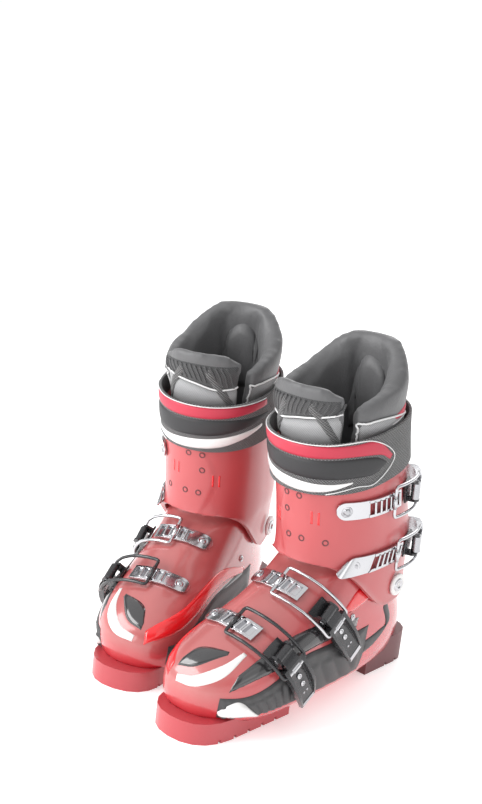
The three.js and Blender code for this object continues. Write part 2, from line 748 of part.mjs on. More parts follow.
function boot(prefix) {
  const group = new THREE.Group();
  group.name = prefix;
  const mesh = (name, geometry, material) => part(`${prefix}_${name}`, geometry, material);
  const slabInset = shellWall + linerPlay;
  const bedInset = slabInset + linerWall + 1.5;
  const bedFloor = linerFloor + seat;
  group.add(
    mesh("lower_shell", withPivotBores(lowerShell(), seat), redPlastic),
    mesh("toe_sole", sole(toeOutline(), toeLugHeight, treadGrooves(5, -halfSole + 26, 17)), solePlastic),
    mesh("heel_sole", sole(heelOutline(), heelLugHeight, treadGrooves(2, halfSole - 44, 17)), solePlastic),
    mesh("boot_board", footSlab(soleThickness + shellWall + seat, boardTop, slabInset), blackPlastic),
    mesh("liner_foot", linerFoot(), linerFoam),
    mesh("footbed", footSlab(bedFloor, bedFloor + footbedThickness, bedInset), linerFoam),
    mesh("lateral_panel", sidePanel(38 * degree, 118 * degree), blackPlastic),
    mesh("medial_panel", sidePanel(-118 * degree, -42 * degree), blackPlastic),
    mesh("lateral_pivot", pivotBolt(1), chrome),
    mesh("medial_pivot", pivotBolt(-1), chrome),
  );
  const cuffMeshes = [
    mesh("cuff", withPivotBores(cuff(), pinPlay), redPlastic),
    mesh("liner_collar", linerCollar(), linerLeather),
    mesh("liner_tongue", linerTongue(), linerLeather),
    mesh("power_strap", powerStrap(), webbing),
  ];
  const cuffLevers = [];
  for (const spec of buckles) {
    const { fixed, leverGroup } = buckleParts(prefix, spec);
    if (spec.onCuff) {
      cuffMeshes.push(...fixed);
      cuffLevers.push(leverGroup);
    } else {
      group.add(...fixed, leverGroup);
    }
  }
  const pivot = new THREE.Vector3(0, pivotY, pivotHeight);
  const cuffGroup = pivotGroup(
    `${prefix}_cuff_pivot`, pivot, new THREE.Vector3(1, 0, 0), new THREE.Vector3(0, 0, 1), cuffMeshes,
  );
  for (const levers of cuffLevers) cuffGroup.attach(levers);
  group.add(cuffGroup);
  return group;
}

// ---- The pair -------------------------------------------------------------------------------------
const left = boot("left");
left.position.set(pairSpread / 2, -rightSetback / 2, 0);
left.rotation.z = -toeIn * degree;

const right = boot("right");
right.scale.x = -1;
right.position.set(-pairSpread / 2, rightSetback / 2, 0);
right.rotation.z = toeIn * degree;

// The origin is under the middle of the pair's own box.
const pair = new THREE.Group();
pair.add(left, right);
const middle = new THREE.Box3().setFromObject(pair, true).getCenter(new THREE.Vector3());
left.position.add(new THREE.Vector3(-middle.x, -middle.y, 0));
right.position.add(new THREE.Vector3(-middle.x, -middle.y, 0));

export default pair;
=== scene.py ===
# %% [markdown]
# # A pair of alpine ski boots
# A ski boot is a hard lower shell, a hinged cuff round the leg and a soft liner, closed by four lever
# buckles and a strap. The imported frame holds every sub-part as a plain solid with its real place and
# size. This lesson builds the visible skin round it. The frame's own hinge says where each boot stands,
# so everything is drawn once, in a boot's own millimetres, and placed twice: the right is a mirror image.

import json
import math

import bmesh
import bpy
import numpy as np
from mathutils import Matrix, Vector
from mathutils.bvhtree import BVHTree


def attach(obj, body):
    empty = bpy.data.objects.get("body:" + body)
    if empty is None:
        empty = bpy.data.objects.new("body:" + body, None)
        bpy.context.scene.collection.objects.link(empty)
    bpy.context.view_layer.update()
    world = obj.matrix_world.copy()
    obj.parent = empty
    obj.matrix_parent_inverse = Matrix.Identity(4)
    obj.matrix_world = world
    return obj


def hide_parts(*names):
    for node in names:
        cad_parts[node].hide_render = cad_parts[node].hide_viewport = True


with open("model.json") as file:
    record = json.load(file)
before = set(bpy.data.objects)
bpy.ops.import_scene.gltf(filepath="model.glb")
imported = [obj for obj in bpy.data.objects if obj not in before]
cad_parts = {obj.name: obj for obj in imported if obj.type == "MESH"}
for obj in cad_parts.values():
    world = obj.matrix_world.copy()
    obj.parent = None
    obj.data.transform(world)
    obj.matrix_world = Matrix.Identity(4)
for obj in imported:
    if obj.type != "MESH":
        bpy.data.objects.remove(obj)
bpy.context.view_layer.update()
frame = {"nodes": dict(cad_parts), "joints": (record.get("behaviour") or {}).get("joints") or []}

# %% [markdown]
# ## Where each boot stands
# The cuff's hinge lies across the boot, a known distance behind and above the middle of the sole. Its
# axis and place give the boot's own X, Y and origin, so no placement is typed in twice.

# %% Boot frames
MM = 0.001
PIVOT_Y, PIVOT_HEIGHT = 88, 97


class Boot:
    def __init__(self, side):
        hinge = next(j for j in frame["joints"] if j["name"] == side + "_cuff_flex")
        across = np.array(hinge["axis"], float)
        self.side = side
        self.back = np.cross([0, 0, 1], across)
        self.across = across if side == "left" else -across
        self.origin = np.array(hinge["pos_m"]) - (self.back * PIVOT_Y + [0, 0, PIVOT_HEIGHT]) * MM

    def world(self, points):
        """Boot millimetres, lateral +X, heel +Y, to metres in the frame."""
        p = np.asarray(points, float) * MM
        return self.origin + p[..., 0:1] * self.across + p[..., 1:2] * self.back + p[..., 2:3] * [0, 0, 1]

    def local(self, points):
        p = np.asarray(points, float) - self.origin
        return np.stack([p @ self.across, p @ self.back, p[..., 2]], -1) / MM

    def body(self, part):
        return {"shell": "boots", "cuff": self.side + "_cuff_body"}.get(part, f"{self.side}_{part}_body")


boots = [Boot("left"), Boot("right")]
print("boots stand at", [b.origin.round(3).tolist() for b in boots])

# %% [markdown]
# ## The camera
# The camera stands in front of the left boot and to its outer side, looks a little down, and is rolled a
# few degrees. A long lens keeps the far boot nearly as tall as the near one.

# %% Camera
CAMERA_PLACE = (551, -750, 472)  # from the left boot, in its own millimetres
CAMERA_AZIMUTH = math.radians(40.8)
CAMERA_DOWN = math.radians(12.6)
CAMERA_ROLL = math.radians(6.4)

looking = np.array([
    -math.sin(CAMERA_AZIMUTH) * math.cos(CAMERA_DOWN),
    math.cos(CAMERA_AZIMUTH) * math.cos(CAMERA_DOWN),
    -math.sin(CAMERA_DOWN),
])
near = boots[0]
forward = Vector(near.across * looking[0] + near.back * looking[1] + np.array([0, 0, looking[2]]))
level = forward.cross(Vector((0, 0, 1))).normalized()
upright = level.cross(forward)
right_hand = level * math.cos(CAMERA_ROLL) + upright * math.sin(CAMERA_ROLL)
top_hand = upright * math.cos(CAMERA_ROLL) - level * math.sin(CAMERA_ROLL)

lens = bpy.data.cameras.new("camera")
lens.lens = 48
camera = bpy.data.objects.new("camera", lens)
axes = Matrix((right_hand, top_hand, -forward)).transposed()
camera.matrix_world = Matrix.Translation(near.world(CAMERA_PLACE)) @ axes.to_4x4()
bpy.context.scene.collection.objects.link(camera)
bpy.context.scene.camera = camera
print("camera at", [round(c, 3) for c in camera.location])

# %% [markdown]
# ## The floor and the light
# A white sweep would hide the object in other views, so the floor is one wide pale plane and the sky is
# a pale dome. A dome that is the same all over makes chrome look like grey paint, so a darker belt
# goes round it above the horizon: metal and gloss then show a dark line beside each bright one.

# %% Floor, sky and lamps
def node_tree(owner):
    owner.use_nodes = True
    owner.node_tree.nodes.clear()
    return owner.node_tree.nodes, owner.node_tree.links


def dome():
    world = bpy.data.worlds.new("dome")
    bpy.context.scene.world = world
    nodes, links = node_tree(world)
    place = nodes.new("ShaderNodeTexCoord")
    split = nodes.new("ShaderNodeSeparateXYZ")
    ramp = nodes.new("ShaderNodeValToRGB")
    light = nodes.new("ShaderNodeBackground")
    out = nodes.new("ShaderNodeOutputWorld")
    stops = [(0.0, 1.0), (0.30, 1.0), (0.42, 0.26), (0.60, 0.18), (0.72, 1.0), (1.0, 1.0)]
    ramp.color_ramp.elements.remove(ramp.color_ramp.elements[1])
    for i, (at, value) in enumerate(stops):
        stop = ramp.color_ramp.elements[0] if i == 0 else ramp.color_ramp.elements.new(at)
        stop.position = at
        stop.color = (value, value, value, 1)
    light.inputs["Strength"].default_value = 1.02
    links.new(place.outputs["Generated"], split.inputs[0])
    links.new(split.outputs["Z"], ramp.inputs["Fac"])
    links.new(ramp.outputs["Color"], light.inputs["Color"])
    links.new(light.outputs[0], out.inputs[0])


def lamp(name, place, size, power):
    """A soft box that faces the middle of the pair."""
    data = bpy.data.lights.new(name, "AREA")
    data.shape = "RECTANGLE"
    data.size, data.size_y = size
    data.energy = power
    box = bpy.data.objects.new(name, data)
    box.location = place
    box.rotation_euler = (Vector((0, 0, 0.15)) - Vector(place)).to_track_quat("-Z", "Y").to_euler()
    bpy.context.scene.collection.objects.link(box)


def floor():
    mesh = bpy.data.meshes.new("floor")
    half = 12
    corners = [(x * half, y * half, 0) for x, y in ((-1, -1), (1, -1), (1, 1), (-1, 1))]
    mesh.from_pydata(corners, [], [(0, 1, 2, 3)])
    plane = bpy.data.objects.new("floor", mesh)
    bpy.context.scene.collection.objects.link(plane)
    paint = bpy.data.materials.new("floor_paper")
    nodes, links = node_tree(paint)
    shader = nodes.new("ShaderNodeBsdfPrincipled")
    out = nodes.new("ShaderNodeOutputMaterial")
    shader.inputs["Base Color"].default_value = (0.93, 0.93, 0.93, 1)
    shader.inputs["Roughness"].default_value = 0.6
    shader.inputs["Emission Color"].default_value = (1, 1, 1, 1)
    shader.inputs["Emission Strength"].default_value = 0.42
    links.new(shader.outputs[0], out.inputs[0])
    mesh.materials.append(paint)


dome()
lamp("key", (-1.4, -1.4, 1.3), (1.6, 1.2), 42)
lamp("fill", (1.9, -0.7, 1.0), (1.0, 1.4), 4)
lamp("front", (-0.7, -2.0, 0.7), (1.2, 0.9), 9)
lamp("back", (-0.4, 1.8, 1.5), (1.8, 0.8), 16)
floor()
bpy.context.scene.view_settings.view_transform = "Standard"
print("stage ready")

# %% [markdown]
# ## The boot's form
# Shell, cuff, liner and strap all follow one form, a little further in or out. The form is a stack of
# rings from the sole to the calf; a smooth curve runs through each ring's values. A point is named by
# its ring number and its turn: 0 at the toe, 90 degrees at the outer side, 180 at the heel.

# %% Ring table
SOLE_LENGTH, FOREFOOT_WIDTH, SOLE_THICKNESS = 311, 102, 12
THROAT_RISE, LEG_RISE, LEG_LEAN = 126, 190, math.radians(13)
LEG_FRONT, LEG_REAR, LEG_WIDTH = 56, 61, 96
HALF_SOLE, HALF_WIDTH = SOLE_LENGTH / 2, FOREFOOT_WIDTH / 2
THROAT_HEIGHT = SOLE_THICKNESS + THROAT_RISE
LEAN_SLOPE = math.tan(LEG_LEAN)


def foot_ring(rise, rake, front, rear, centre, lateral, medial, squareness, toe_bend):
    middle = centre * HALF_SOLE
    return [
        SOLE_THICKNESS + rise * THROAT_RISE, math.radians(rake), middle,
        middle - front * HALF_SOLE, rear * HALF_SOLE - middle,
        lateral * HALF_WIDTH, medial * HALF_WIDTH, squareness, toe_bend,
    ]


def leg_ring(share, depth_gain, width_share):
    rise = share * LEG_RISE
    return [
        THROAT_HEIGHT + rise, LEG_LEAN, 0.35 * HALF_SOLE - rise * LEAN_SLOPE,
        LEG_FRONT, LEG_REAR + depth_gain,
        LEG_WIDTH / 2 * (width_share + 0.02), LEG_WIDTH / 2 * (width_share - 0.02), 2.2, 0,
    ]


RINGS = np.array([
    foot_ring(0.0, 0, -0.85, 0.92, -0.38, 0.82, 0.78, 2.5, 7),
    foot_ring(0.06, 0, -0.91, 0.955, -0.38, 0.93, 0.87, 2.5, 7),
    foot_ring(0.17, 0, -0.93, 0.97, -0.38, 1.01, 0.93, 2.5, 7),
    foot_ring(0.28, 0, -0.915, 0.965, -0.35, 1.02, 0.94, 2.5, 6.5),
    foot_ring(0.38, 0, -0.85, 0.95, -0.28, 0.99, 0.91, 2.45, 6),
    foot_ring(0.46, 0, -0.75, 0.93, -0.18, 0.95, 0.87, 2.4, 5),
    foot_ring(0.54, 0, -0.61, 0.91, -0.05, 0.91, 0.83, 2.4, 4),
    foot_ring(0.62, 0, -0.46, 0.89, 0.08, 0.88, 0.81, 2.35, 2),
    foot_ring(0.73, 1, -0.31, 0.87, 0.2, 0.86, 0.8, 2.3, 1),
    foot_ring(0.86, 4, -0.17, 0.85, 0.3, 0.86, 0.81, 2.25, 0),
    foot_ring(1.0, 9, -0.06, 0.82, 0.35, 0.88, 0.84, 2.2, 0),
    leg_ring(0.25, 4, 0.94),
    leg_ring(0.5, 0, 0.97),
    leg_ring(0.75, 0, 1.0),
    leg_ring(1.0, 1, 1.03),
])
LAST_RING = len(RINGS) - 1


def form_point(v, turn):
    v, turn = np.broadcast_arrays(np.asarray(v, float), np.asarray(turn, float))
    i = np.clip(np.floor(v).astype(int), 0, LAST_RING - 1)
    t = (v - i)[..., None]
    a, b, c, d = [RINGS[np.clip(i + k, 0, LAST_RING)] for k in (-1, 0, 1, 2)]
    row = b + 0.5 * t * (c - a + t * (2 * a - 5 * b + 4 * c - d + t * (3 * (b - c) + d - a)))
    height, rake, middle, front, rear, lateral, medial, squareness, bend = np.moveaxis(row, -1, 0)
    cos, sin = np.cos(turn), np.sin(turn)
    stretch = (abs(cos) ** squareness + abs(sin) ** squareness) ** (-1 / squareness)
    along = -cos * stretch * np.where(cos > 0, front, rear)
    x = sin * stretch * np.where(sin > 0, lateral, medial) - bend * np.maximum(cos * stretch, 0) ** 2
    return np.stack([x, middle + along * np.cos(rake), height + along * np.sin(rake)], -1)


def skin(v, turn, grow=0.0):
    """A point of the form moved out along its normal."""
    up = form_point(np.minimum(v + 0.05, LAST_RING), turn) - form_point(np.maximum(v - 0.05, 0), turn)
    around = form_point(v, turn + 0.03) - form_point(v, turn - 0.03)
    normal = np.cross(around, up)
    normal /= np.linalg.norm(normal, axis=-1, keepdims=True)
    return form_point(v, turn) + normal * np.asarray(grow, float)[..., None]


def ring_at_height(turn, grow, limit):
    """The ring number at which the grown form meets the height that limit(y) gives."""
    low = np.zeros_like(np.asarray(turn, float))
    high = low + LAST_RING
    for _ in range(26):
        middle = (low + high) / 2
        p = skin(middle, turn, grow)
        below = p[..., 2] < limit(p[..., 1])
        low, high = np.where(below, middle, low), np.where(below, high, middle)
    return (low + high) / 2


print("form:", len(RINGS), "rings, throat at", THROAT_HEIGHT, "mm")

# %% [markdown]
# ## Edges and clearances
# Each wall ends at an edge line, given as a height that changes along the boot. These lines and the
# gaps between the layers are the same as the solids', so the skin sits where the solids sit.

# %% Edge lines and growths
SHELL_WALL, CUFF_WALL, LINER_WALL, COLLAR_WALL = 4.5, 4.2, 9, 12
CUFF_PLAY, CUFF_FRONT_PLAY, LINER_PLAY, LEG_PLAY, PLATE_SEAT = 2.4, 7.5, 2.5, 2.5, 1.2
STRAP_THICKNESS, STRAP_WIDTH, STRAP_HEIGHT = 3, 50, 204
LEG_TOP = THROAT_HEIGHT + LEG_RISE


def smooth(start, end, value):
    t = np.clip((np.asarray(value, float) - start) / (end - start), 0, 1)
    return t * t * (3 - 2 * t)


def shell_rim(y):
    return THROAT_HEIGHT + 22 - 0.12 * (y + 10)


def strap_hem(y):
    return STRAP_HEIGHT + LEAN_SLOPE * y


def cuff_rim(y):
    return strap_hem(y) + 0.6 * STRAP_WIDTH


def cuff_hem(y):
    low = PIVOT_HEIGHT - 17 + 10 * smooth(PIVOT_Y + 14, HALF_SOLE - 10, y)
    front = THROAT_HEIGHT - 8
    return front + (low - front) * smooth(PIVOT_Y - 103, PIVOT_Y - 13, y)


def collar_hem(y):
    return PIVOT_HEIGHT - np.where(y < PIVOT_Y, 0.37, 0.25) * (y - PIVOT_Y)


def cuff_inner(turn):
    return CUFF_PLAY + (CUFF_FRONT_PLAY - CUFF_PLAY) * np.maximum(np.cos(turn), 0) ** 1.5


def cuff_outer(turn):
    return cuff_inner(turn) + CUFF_WALL


def strap_outer(turn):
    return cuff_outer(turn) + PLATE_SEAT + STRAP_THICKNESS


print("cuff rim at", round(float(cuff_rim(0))), "mm, strap to", STRAP_HEIGHT + STRAP_WIDTH, "mm")

# %% [markdown]
# ## Shared shader effects
# A real surface is never one value. Tone varies slowly, edges lose their gloss, moulded plastic has a
# fine grain, leather has pebbles and webbing has threads. Each effect is a node group with named
# inputs, placed in every material that needs it with its own values.

# %% Node group helper
def effect(name, inputs, outputs):
    """An empty shader group with float, colour or vector sockets."""
    kinds = {"f": "NodeSocketFloat", "c": "NodeSocketColor", "v": "NodeSocketVector"}
    tree = bpy.data.node_groups.new(name, "ShaderNodeTree")
    for label, kind, value in inputs:
        socket = tree.interface.new_socket(label, in_out="INPUT", socket_type=kinds[kind])
        socket.default_value = value
    for label, kind in outputs:
        tree.interface.new_socket(label, in_out="OUTPUT", socket_type=kinds[kind])
    start, end = tree.nodes.new("NodeGroupInput"), tree.nodes.new("NodeGroupOutput")
    return tree, start, end


def maths(tree, operation, a, b):
    """One Math node; a and b are sockets or numbers."""
    node = tree.nodes.new("ShaderNodeMath")
    node.operation = operation
    for socket, value in zip(node.inputs, (a, b)):
        if isinstance(value, (int, float)):
            socket.default_value = value
        else:
            tree.links.new(value, socket)
    return node.outputs[0]


def mixed(tree, share, a, b):
    node = tree.nodes.new("ShaderNodeMix")
    node.data_type = "RGBA"
    for socket, value in ((node.inputs[0], share), (node.inputs[6], a), (node.inputs[7], b)):
        if isinstance(value, (int, float)):
            socket.default_value = value
        elif isinstance(value, tuple):
            socket.default_value = value
        else:
            tree.links.new(value, socket)
    return node.outputs[2]


def noise(tree, place, scale, detail=3.0):
    node = tree.nodes.new("ShaderNodeTexNoise")
    node.inputs["Detail"].default_value = detail
    tree.links.new(place, node.inputs["Vector"])
    if isinstance(scale, (int, float)):
        node.inputs["Scale"].default_value = scale
    else:
        tree.links.new(scale, node.inputs["Scale"])
    return node.outputs["Fac"]


# %% Tone, wear and scuffs
def tone_effect():
    """A colour that drifts darker and lighter over the piece."""
    tree, start, end = effect(
        "tone drift",
        [("Color", "c", (1, 1, 1, 1)), ("Size", "f", 14.0), ("Amount", "f", 0.25)],
        [("Color", "c")],
    )
    place = tree.nodes.new("ShaderNodeTexCoord").outputs["Object"]
    drift = maths(tree, "SUBTRACT", noise(tree, place, start.outputs["Size"]), 0.5)
    gain = maths(tree, "ADD", maths(tree, "MULTIPLY", drift, start.outputs["Amount"]), 1.0)
    scale = tree.nodes.new("ShaderNodeVectorMath")
    scale.operation = "SCALE"
    tree.links.new(start.outputs["Color"], scale.inputs[0])
    tree.links.new(gain, scale.inputs["Scale"])
    tree.links.new(scale.outputs[0], end.inputs[0])
    return tree


def wear_effect():
    """A mask of rubbed edges, from the piece's own wear value, broken up by noise."""
    tree, start, end = effect("rubbed edges", [("Amount", "f", 0.5)], [("Mask", "f")])
    place = tree.nodes.new("ShaderNodeTexCoord").outputs["Object"]
    edge = tree.nodes.new("ShaderNodeAttribute")
    edge.attribute_name = "wear"
    rough = maths(tree, "MULTIPLY", noise(tree, place, 160.0, 6.0), edge.outputs["Fac"])
    mask = maths(tree, "MULTIPLY", rough, start.outputs["Amount"])
    tree.links.new(mask, end.inputs[0])
    return tree


def scuff_effect():
    """Fine hairline scuffs that change the gloss."""
    tree, start, end = effect("scuffs", [("Size", "f", 60.0), ("Amount", "f", 0.1)], [("Value", "f")])
    place = tree.nodes.new("ShaderNodeTexCoord")
    stretch = tree.nodes.new("ShaderNodeMapping")
    stretch.inputs["Scale"].default_value = (1, 6, 14)
    tree.links.new(place.outputs["Object"], stretch.inputs["Vector"])
    lines = noise(tree, stretch.outputs[0], start.outputs["Size"], 8.0)
    tree.links.new(maths(tree, "MULTIPLY", lines, start.outputs["Amount"]), end.inputs[0])
    return tree


# %% Relief of plastic, leather and cloth
def grain_effect():
    tree, start, end = effect("moulded grain", [("Size", "f", 900.0)], [("Height", "f")])
    place = tree.nodes.new("ShaderNodeTexCoord").outputs["Object"]
    tree.links.new(noise(tree, place, start.outputs["Size"], 2.0), end.inputs[0])
    return tree


def leather_effect():
    """Pebbles with creases between them, over slow wrinkles."""
    tree, start, end = effect("leather pebbles", [("Size", "f", 420.0)], [("Height", "f")])
    place = tree.nodes.new("ShaderNodeTexCoord").outputs["Object"]
    cells = tree.nodes.new("ShaderNodeTexVoronoi")
    tree.links.new(place, cells.inputs["Vector"])
    tree.links.new(start.outputs["Size"], cells.inputs["Scale"])
    wrinkles = noise(tree, place, 45.0, 4.0)
    pebbles = maths(tree, "MULTIPLY", cells.outputs["Distance"], -0.5)
    tree.links.new(maths(tree, "ADD", pebbles, wrinkles), end.inputs[0])
    return tree


def weave_effect():
    """Threads over and under: two waves along the piece's own thread directions. The Mask output is low
    between the threads, where the finish paints shade.
    """
    tree, start, end = effect("weave", [("Pitch", "f", 2.0)], [("Height", "f"), ("Mask", "f")])
    threads = tree.nodes.new("ShaderNodeAttribute")
    threads.attribute_name = "threads"
    split = tree.nodes.new("ShaderNodeSeparateXYZ")
    tree.links.new(threads.outputs["Vector"], split.inputs[0])
    waves = []
    for axis in ("X", "Y"):
        turns = maths(tree, "DIVIDE", split.outputs[axis], start.outputs["Pitch"])
        waves.append(maths(tree, "SINE", maths(tree, "MULTIPLY", turns, 2 * math.pi), 0))
    height = maths(tree, "MULTIPLY", waves[0], waves[1])
    tree.links.new(height, end.inputs["Height"])
    tree.links.new(maths(tree, "ADD", maths(tree, "MULTIPLY", height, 0.5), 0.5), end.inputs["Mask"])
    return tree


EFFECTS = {"tone": tone_effect(), "wear": wear_effect(), "scuff": scuff_effect()}
RELIEFS = {"grain": grain_effect(), "leather": leather_effect(), "weave": weave_effect()}
print("effects:", [g.name for g in bpy.data.node_groups])

# %% [markdown]
# ## The finishes
# One function wires a finish: base colour through tone drift, rubbed edges on top, a gloss broken by
# scuffs, and a relief. What is constant over the surface, such as coat or sheen, is set on the shader.

# %% Finish
def finish(name, colour, rough, metal=0.0, relief="grain", size=900.0, depth=0.1, drift=0.25, rubbed=0.4,
           rub_colour=(0.6, 0.5, 0.5), scuffs=0.12, deep_red_beside_painted_highlight=None, **constants):
    material = bpy.data.materials.new(name)
    nodes, links = node_tree(material)
    tree = material.node_tree

    def placed(group, **values):
        node = nodes.new("ShaderNodeGroup")
        node.node_tree = group
        for label, value in values.items():
            node.inputs[label].default_value = value
        return node

    shader = nodes.new("ShaderNodeBsdfPrincipled")
    out = nodes.new("ShaderNodeOutputMaterial")
    tone = placed(EFFECTS["tone"], Color=(*colour, 1), Amount=drift)
    worn = placed(EFFECTS["wear"], Amount=rubbed)
    scuff = placed(EFFECTS["scuff"], Amount=scuffs)
    first = {"grain": "Size", "leather": "Size", "weave": "Pitch"}[relief]
    shape = placed(RELIEFS[relief], **{first: size})
    base = tone.outputs[0]
    # Painted highlight: the pale tone colour stays where the point's deep value is low, on the top of the
    # shell where light falls, and the deep colour shows where it is high.
    if deep_red_beside_painted_highlight:
        highlight_depth_node = nodes.new("ShaderNodeAttribute")
        highlight_depth_node.attribute_name = "deep"
        base = mixed(tree, highlight_depth_node.outputs["Fac"], base, (*deep_red_beside_painted_highlight, 1))
    if relief == "weave":
        # Painted shade: a quarter-strength copy of the colour darkens the low places between the threads.
        dark = tuple(c * 0.25 for c in colour) + (1,)
        base = mixed(tree, shape.outputs["Mask"], dark, base)
    links.new(mixed(tree, worn.outputs[0], base, (*rub_colour, 1)), shader.inputs["Base Color"])
    gloss = maths(tree, "ADD", scuff.outputs[0], rough - scuffs * 0.5)
    rubbed_gloss = maths(tree, "MULTIPLY", worn.outputs[0], 0.3)
    links.new(maths(tree, "ADD", gloss, rubbed_gloss), shader.inputs["Roughness"])
    bump = nodes.new("ShaderNodeBump")
    bump.inputs["Strength"].default_value = depth
    bump.inputs["Distance"].default_value = 0.001
    links.new(shape.outputs["Height"], bump.inputs["Height"])
    links.new(bump.outputs[0], shader.inputs["Normal"])
    shader.inputs["Metallic"].default_value = metal
    for label, value in constants.items():
        shader.inputs[label.replace("_", " ")].default_value = value
    links.new(shader.outputs[0], out.inputs[0])
    return material


# The pale tone colour, left on the top of the toe box and instep, is a painted highlight; the deep colour is
# the shell's red lower down.
RED_SHELL = finish("red shell plastic", (0.43, 0.140, 0.136), 0.22, depth=0.03, drift=0.5,
                   deep_red_beside_painted_highlight=(0.60, 0.010, 0.026), Coat_Weight=0.7, Coat_Roughness=0.08)
RED_CUFF = finish("red cuff plastic", (0.51, 0.082, 0.088), 0.34, depth=0.04, Coat_Weight=0.35,
                  Coat_Roughness=0.2)
RED_SOLE = finish("red sole plastic", (0.46, 0.050, 0.062), 0.34, depth=0.12, size=600.0, Coat_Weight=0.4)
BRIGHT_RED = finish("bright red moulding", (0.78, 0.010, 0.016), 0.22, depth=0.02, Coat_Weight=0.8)
HEEL_RED = finish("dark heel plastic", (0.14, 0.040, 0.044), 0.42, depth=0.15, size=500.0)
BLACK_PANEL = finish("black panel plastic", (0.048, 0.047, 0.049), 0.42, depth=0.2, size=700.0,
                     rub_colour=(0.2, 0.2, 0.2))
BLACK_GLOSS = finish("black gloss plastic", (0.030, 0.029, 0.031), 0.16, depth=0.01, Coat_Weight=0.9)
WHITE_INLAY = finish("white inlay", (0.80, 0.79, 0.78), 0.28, depth=0.03, drift=0.08, Coat_Weight=0.5)
CHROME = finish("chrome", (0.56, 0.56, 0.58), 0.12, metal=1.0, depth=0.02, drift=0.1,
                rub_colour=(0.5, 0.5, 0.5), scuffs=0.14)
STEEL = finish("brushed steel", (0.44, 0.44, 0.46), 0.26, metal=1.0, depth=0.08, size=1500.0, drift=0.15,
               scuffs=0.2)
DARK_METAL = finish("dark metal", (0.030, 0.030, 0.033), 0.27, metal=0.4, depth=0.08, Coat_Weight=0.5,
                    rub_colour=(0.35, 0.35, 0.36))
LEATHER = finish("liner leather", (0.100, 0.100, 0.103), 0.50, relief="leather", size=520.0, depth=0.28,
                 drift=0.35, rub_colour=(0.2, 0.2, 0.2), Sheen_Weight=0.15)
FOAM = finish("liner foam", (0.11, 0.11, 0.115), 0.85, relief="leather", size=260.0, depth=0.3,
              Sheen_Weight=0.3)
SILVER = finish("silver mesh cloth", (0.50, 0.50, 0.51), 0.45, relief="weave", size=1.6, depth=0.3,
                drift=0.15, Sheen_Weight=0.2)
WEBBING = finish("woven webbing", (0.190, 0.188, 0.190), 0.75, relief="weave", size=2.6, depth=1.0,
                 drift=0.2, Sheen_Weight=0.3)
RIBBED = finish("ribbed dark cloth", (0.085, 0.085, 0.088), 0.6, relief="weave", size=1.8, depth=0.4,
                Sheen_Weight=0.2)
PATCH_BLACK = finish("strap patch black", (0.026, 0.026, 0.028), 0.55, relief="leather", size=700.0,
                     depth=0.15)
PATCH_RED = finish("strap patch red", (0.50, 0.030, 0.060), 0.48, relief="leather", size=800.0, depth=0.15)
PIPING = finish("white piping", (0.72, 0.72, 0.72), 0.4, depth=0.2, drift=0.1)
print("finishes:", len([m for m in bpy.data.materials if m.use_nodes]))

# %% [markdown]
# ## Making a piece
# Every piece is points and faces in boot millimetres, placed for its side, given a finish and a body to
# ride on. A thin bevel on hard edges catches the light as a moulded edge does. Closed lofts (a grid of
# rows that wraps round) make walls and bars; the normals are worked out afterwards, so a mirrored boot
# needs no special case.

# %% Piece helpers
def grid_faces(rows, columns, wrap_rows=False, wrap_columns=True):
    faces = []
    for i in range(rows if wrap_rows else rows - 1):
        for j in range(columns if wrap_columns else columns - 1):
            k, n = (i + 1) % rows, (j + 1) % columns
            faces.append((i * columns + j, i * columns + n, k * columns + n, k * columns + j))
    return faces


def capped(rows, columns):
    """A tube's faces with a cap on each end."""
    ends = [tuple(range(columns)), tuple(range((rows - 1) * columns, rows * columns))]
    return grid_faces(rows, columns) + ends


def plate(top, bottom):
    """Two grids of points, closed round their edge."""
    rows, columns = top.shape[:2]
    n = rows * columns
    faces = grid_faces(rows, columns, wrap_columns=False)
    faces += [tuple(k + n for k in reversed(face)) for face in faces]
    rim = list(range(columns)) + [i * columns + columns - 1 for i in range(1, rows)]
    rim += [(rows - 1) * columns + j for j in range(columns - 2, -1, -1)]
    rim += [i * columns for i in range(rows - 2, 0, -1)]
    faces += [(a, b, b + n, a + n) for a, b in zip(rim, rim[1:] + rim[:1])]
    return np.concatenate([top.reshape(-1, 3), bottom.reshape(-1, 3)]), faces


def together(*shapes):
    """Several (points, faces) shapes as one."""
    points, faces, start = [], [], 0
    for p, f in shapes:
        p = np.asarray(p, float).reshape(-1, 3)
        points.append(p)
        faces += [tuple(i + start for i in face) for face in f]
        start += len(p)
    return np.concatenate(points), faces


def add_piece(boot, name, shape, material, part="shell", stands_for=(), bevel=0.0, levels=0,
              values=None):
    points, faces = shape
    mesh = bpy.data.meshes.new(f"{boot.side}_{name}")
    mesh.from_pydata(boot.world(np.asarray(points, float).reshape(-1, 3)).tolist(), [], faces)
    work = bmesh.new()
    work.from_mesh(mesh)
    bmesh.ops.recalc_face_normals(work, faces=work.faces)
    work.to_mesh(mesh)
    work.free()
    for label, numbers in (values or {}).items():
        vector = np.ndim(numbers) == 2
        layer = mesh.attributes.new(label, "FLOAT_VECTOR" if vector else "FLOAT", "POINT")
        layer.data.foreach_set("vector" if vector else "value", np.asarray(numbers, np.float32).ravel())
    mesh.materials.append(material)
    mesh.polygons.foreach_set("use_smooth", [True] * len(mesh.polygons))
    piece = bpy.data.objects.new(f"{boot.side}_{name}", mesh)
    bpy.context.scene.collection.objects.link(piece)
    if bevel:
        rounding = piece.modifiers.new("edge rounding", "BEVEL")
        rounding.width = bevel * MM
        rounding.segments = 2
        rounding.limit_method = "ANGLE"
        rounding.angle_limit = math.radians(38)
        rounding.harden_normals = True
    if levels:
        piece.modifiers.new("smoothing", "SUBSURF").levels = levels
        piece.modifiers["smoothing"].render_levels = levels
    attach(piece, boot.body(part))
    if stands_for:
        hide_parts(*[f"{boot.side}_{node}" for node in stands_for])
    return piece


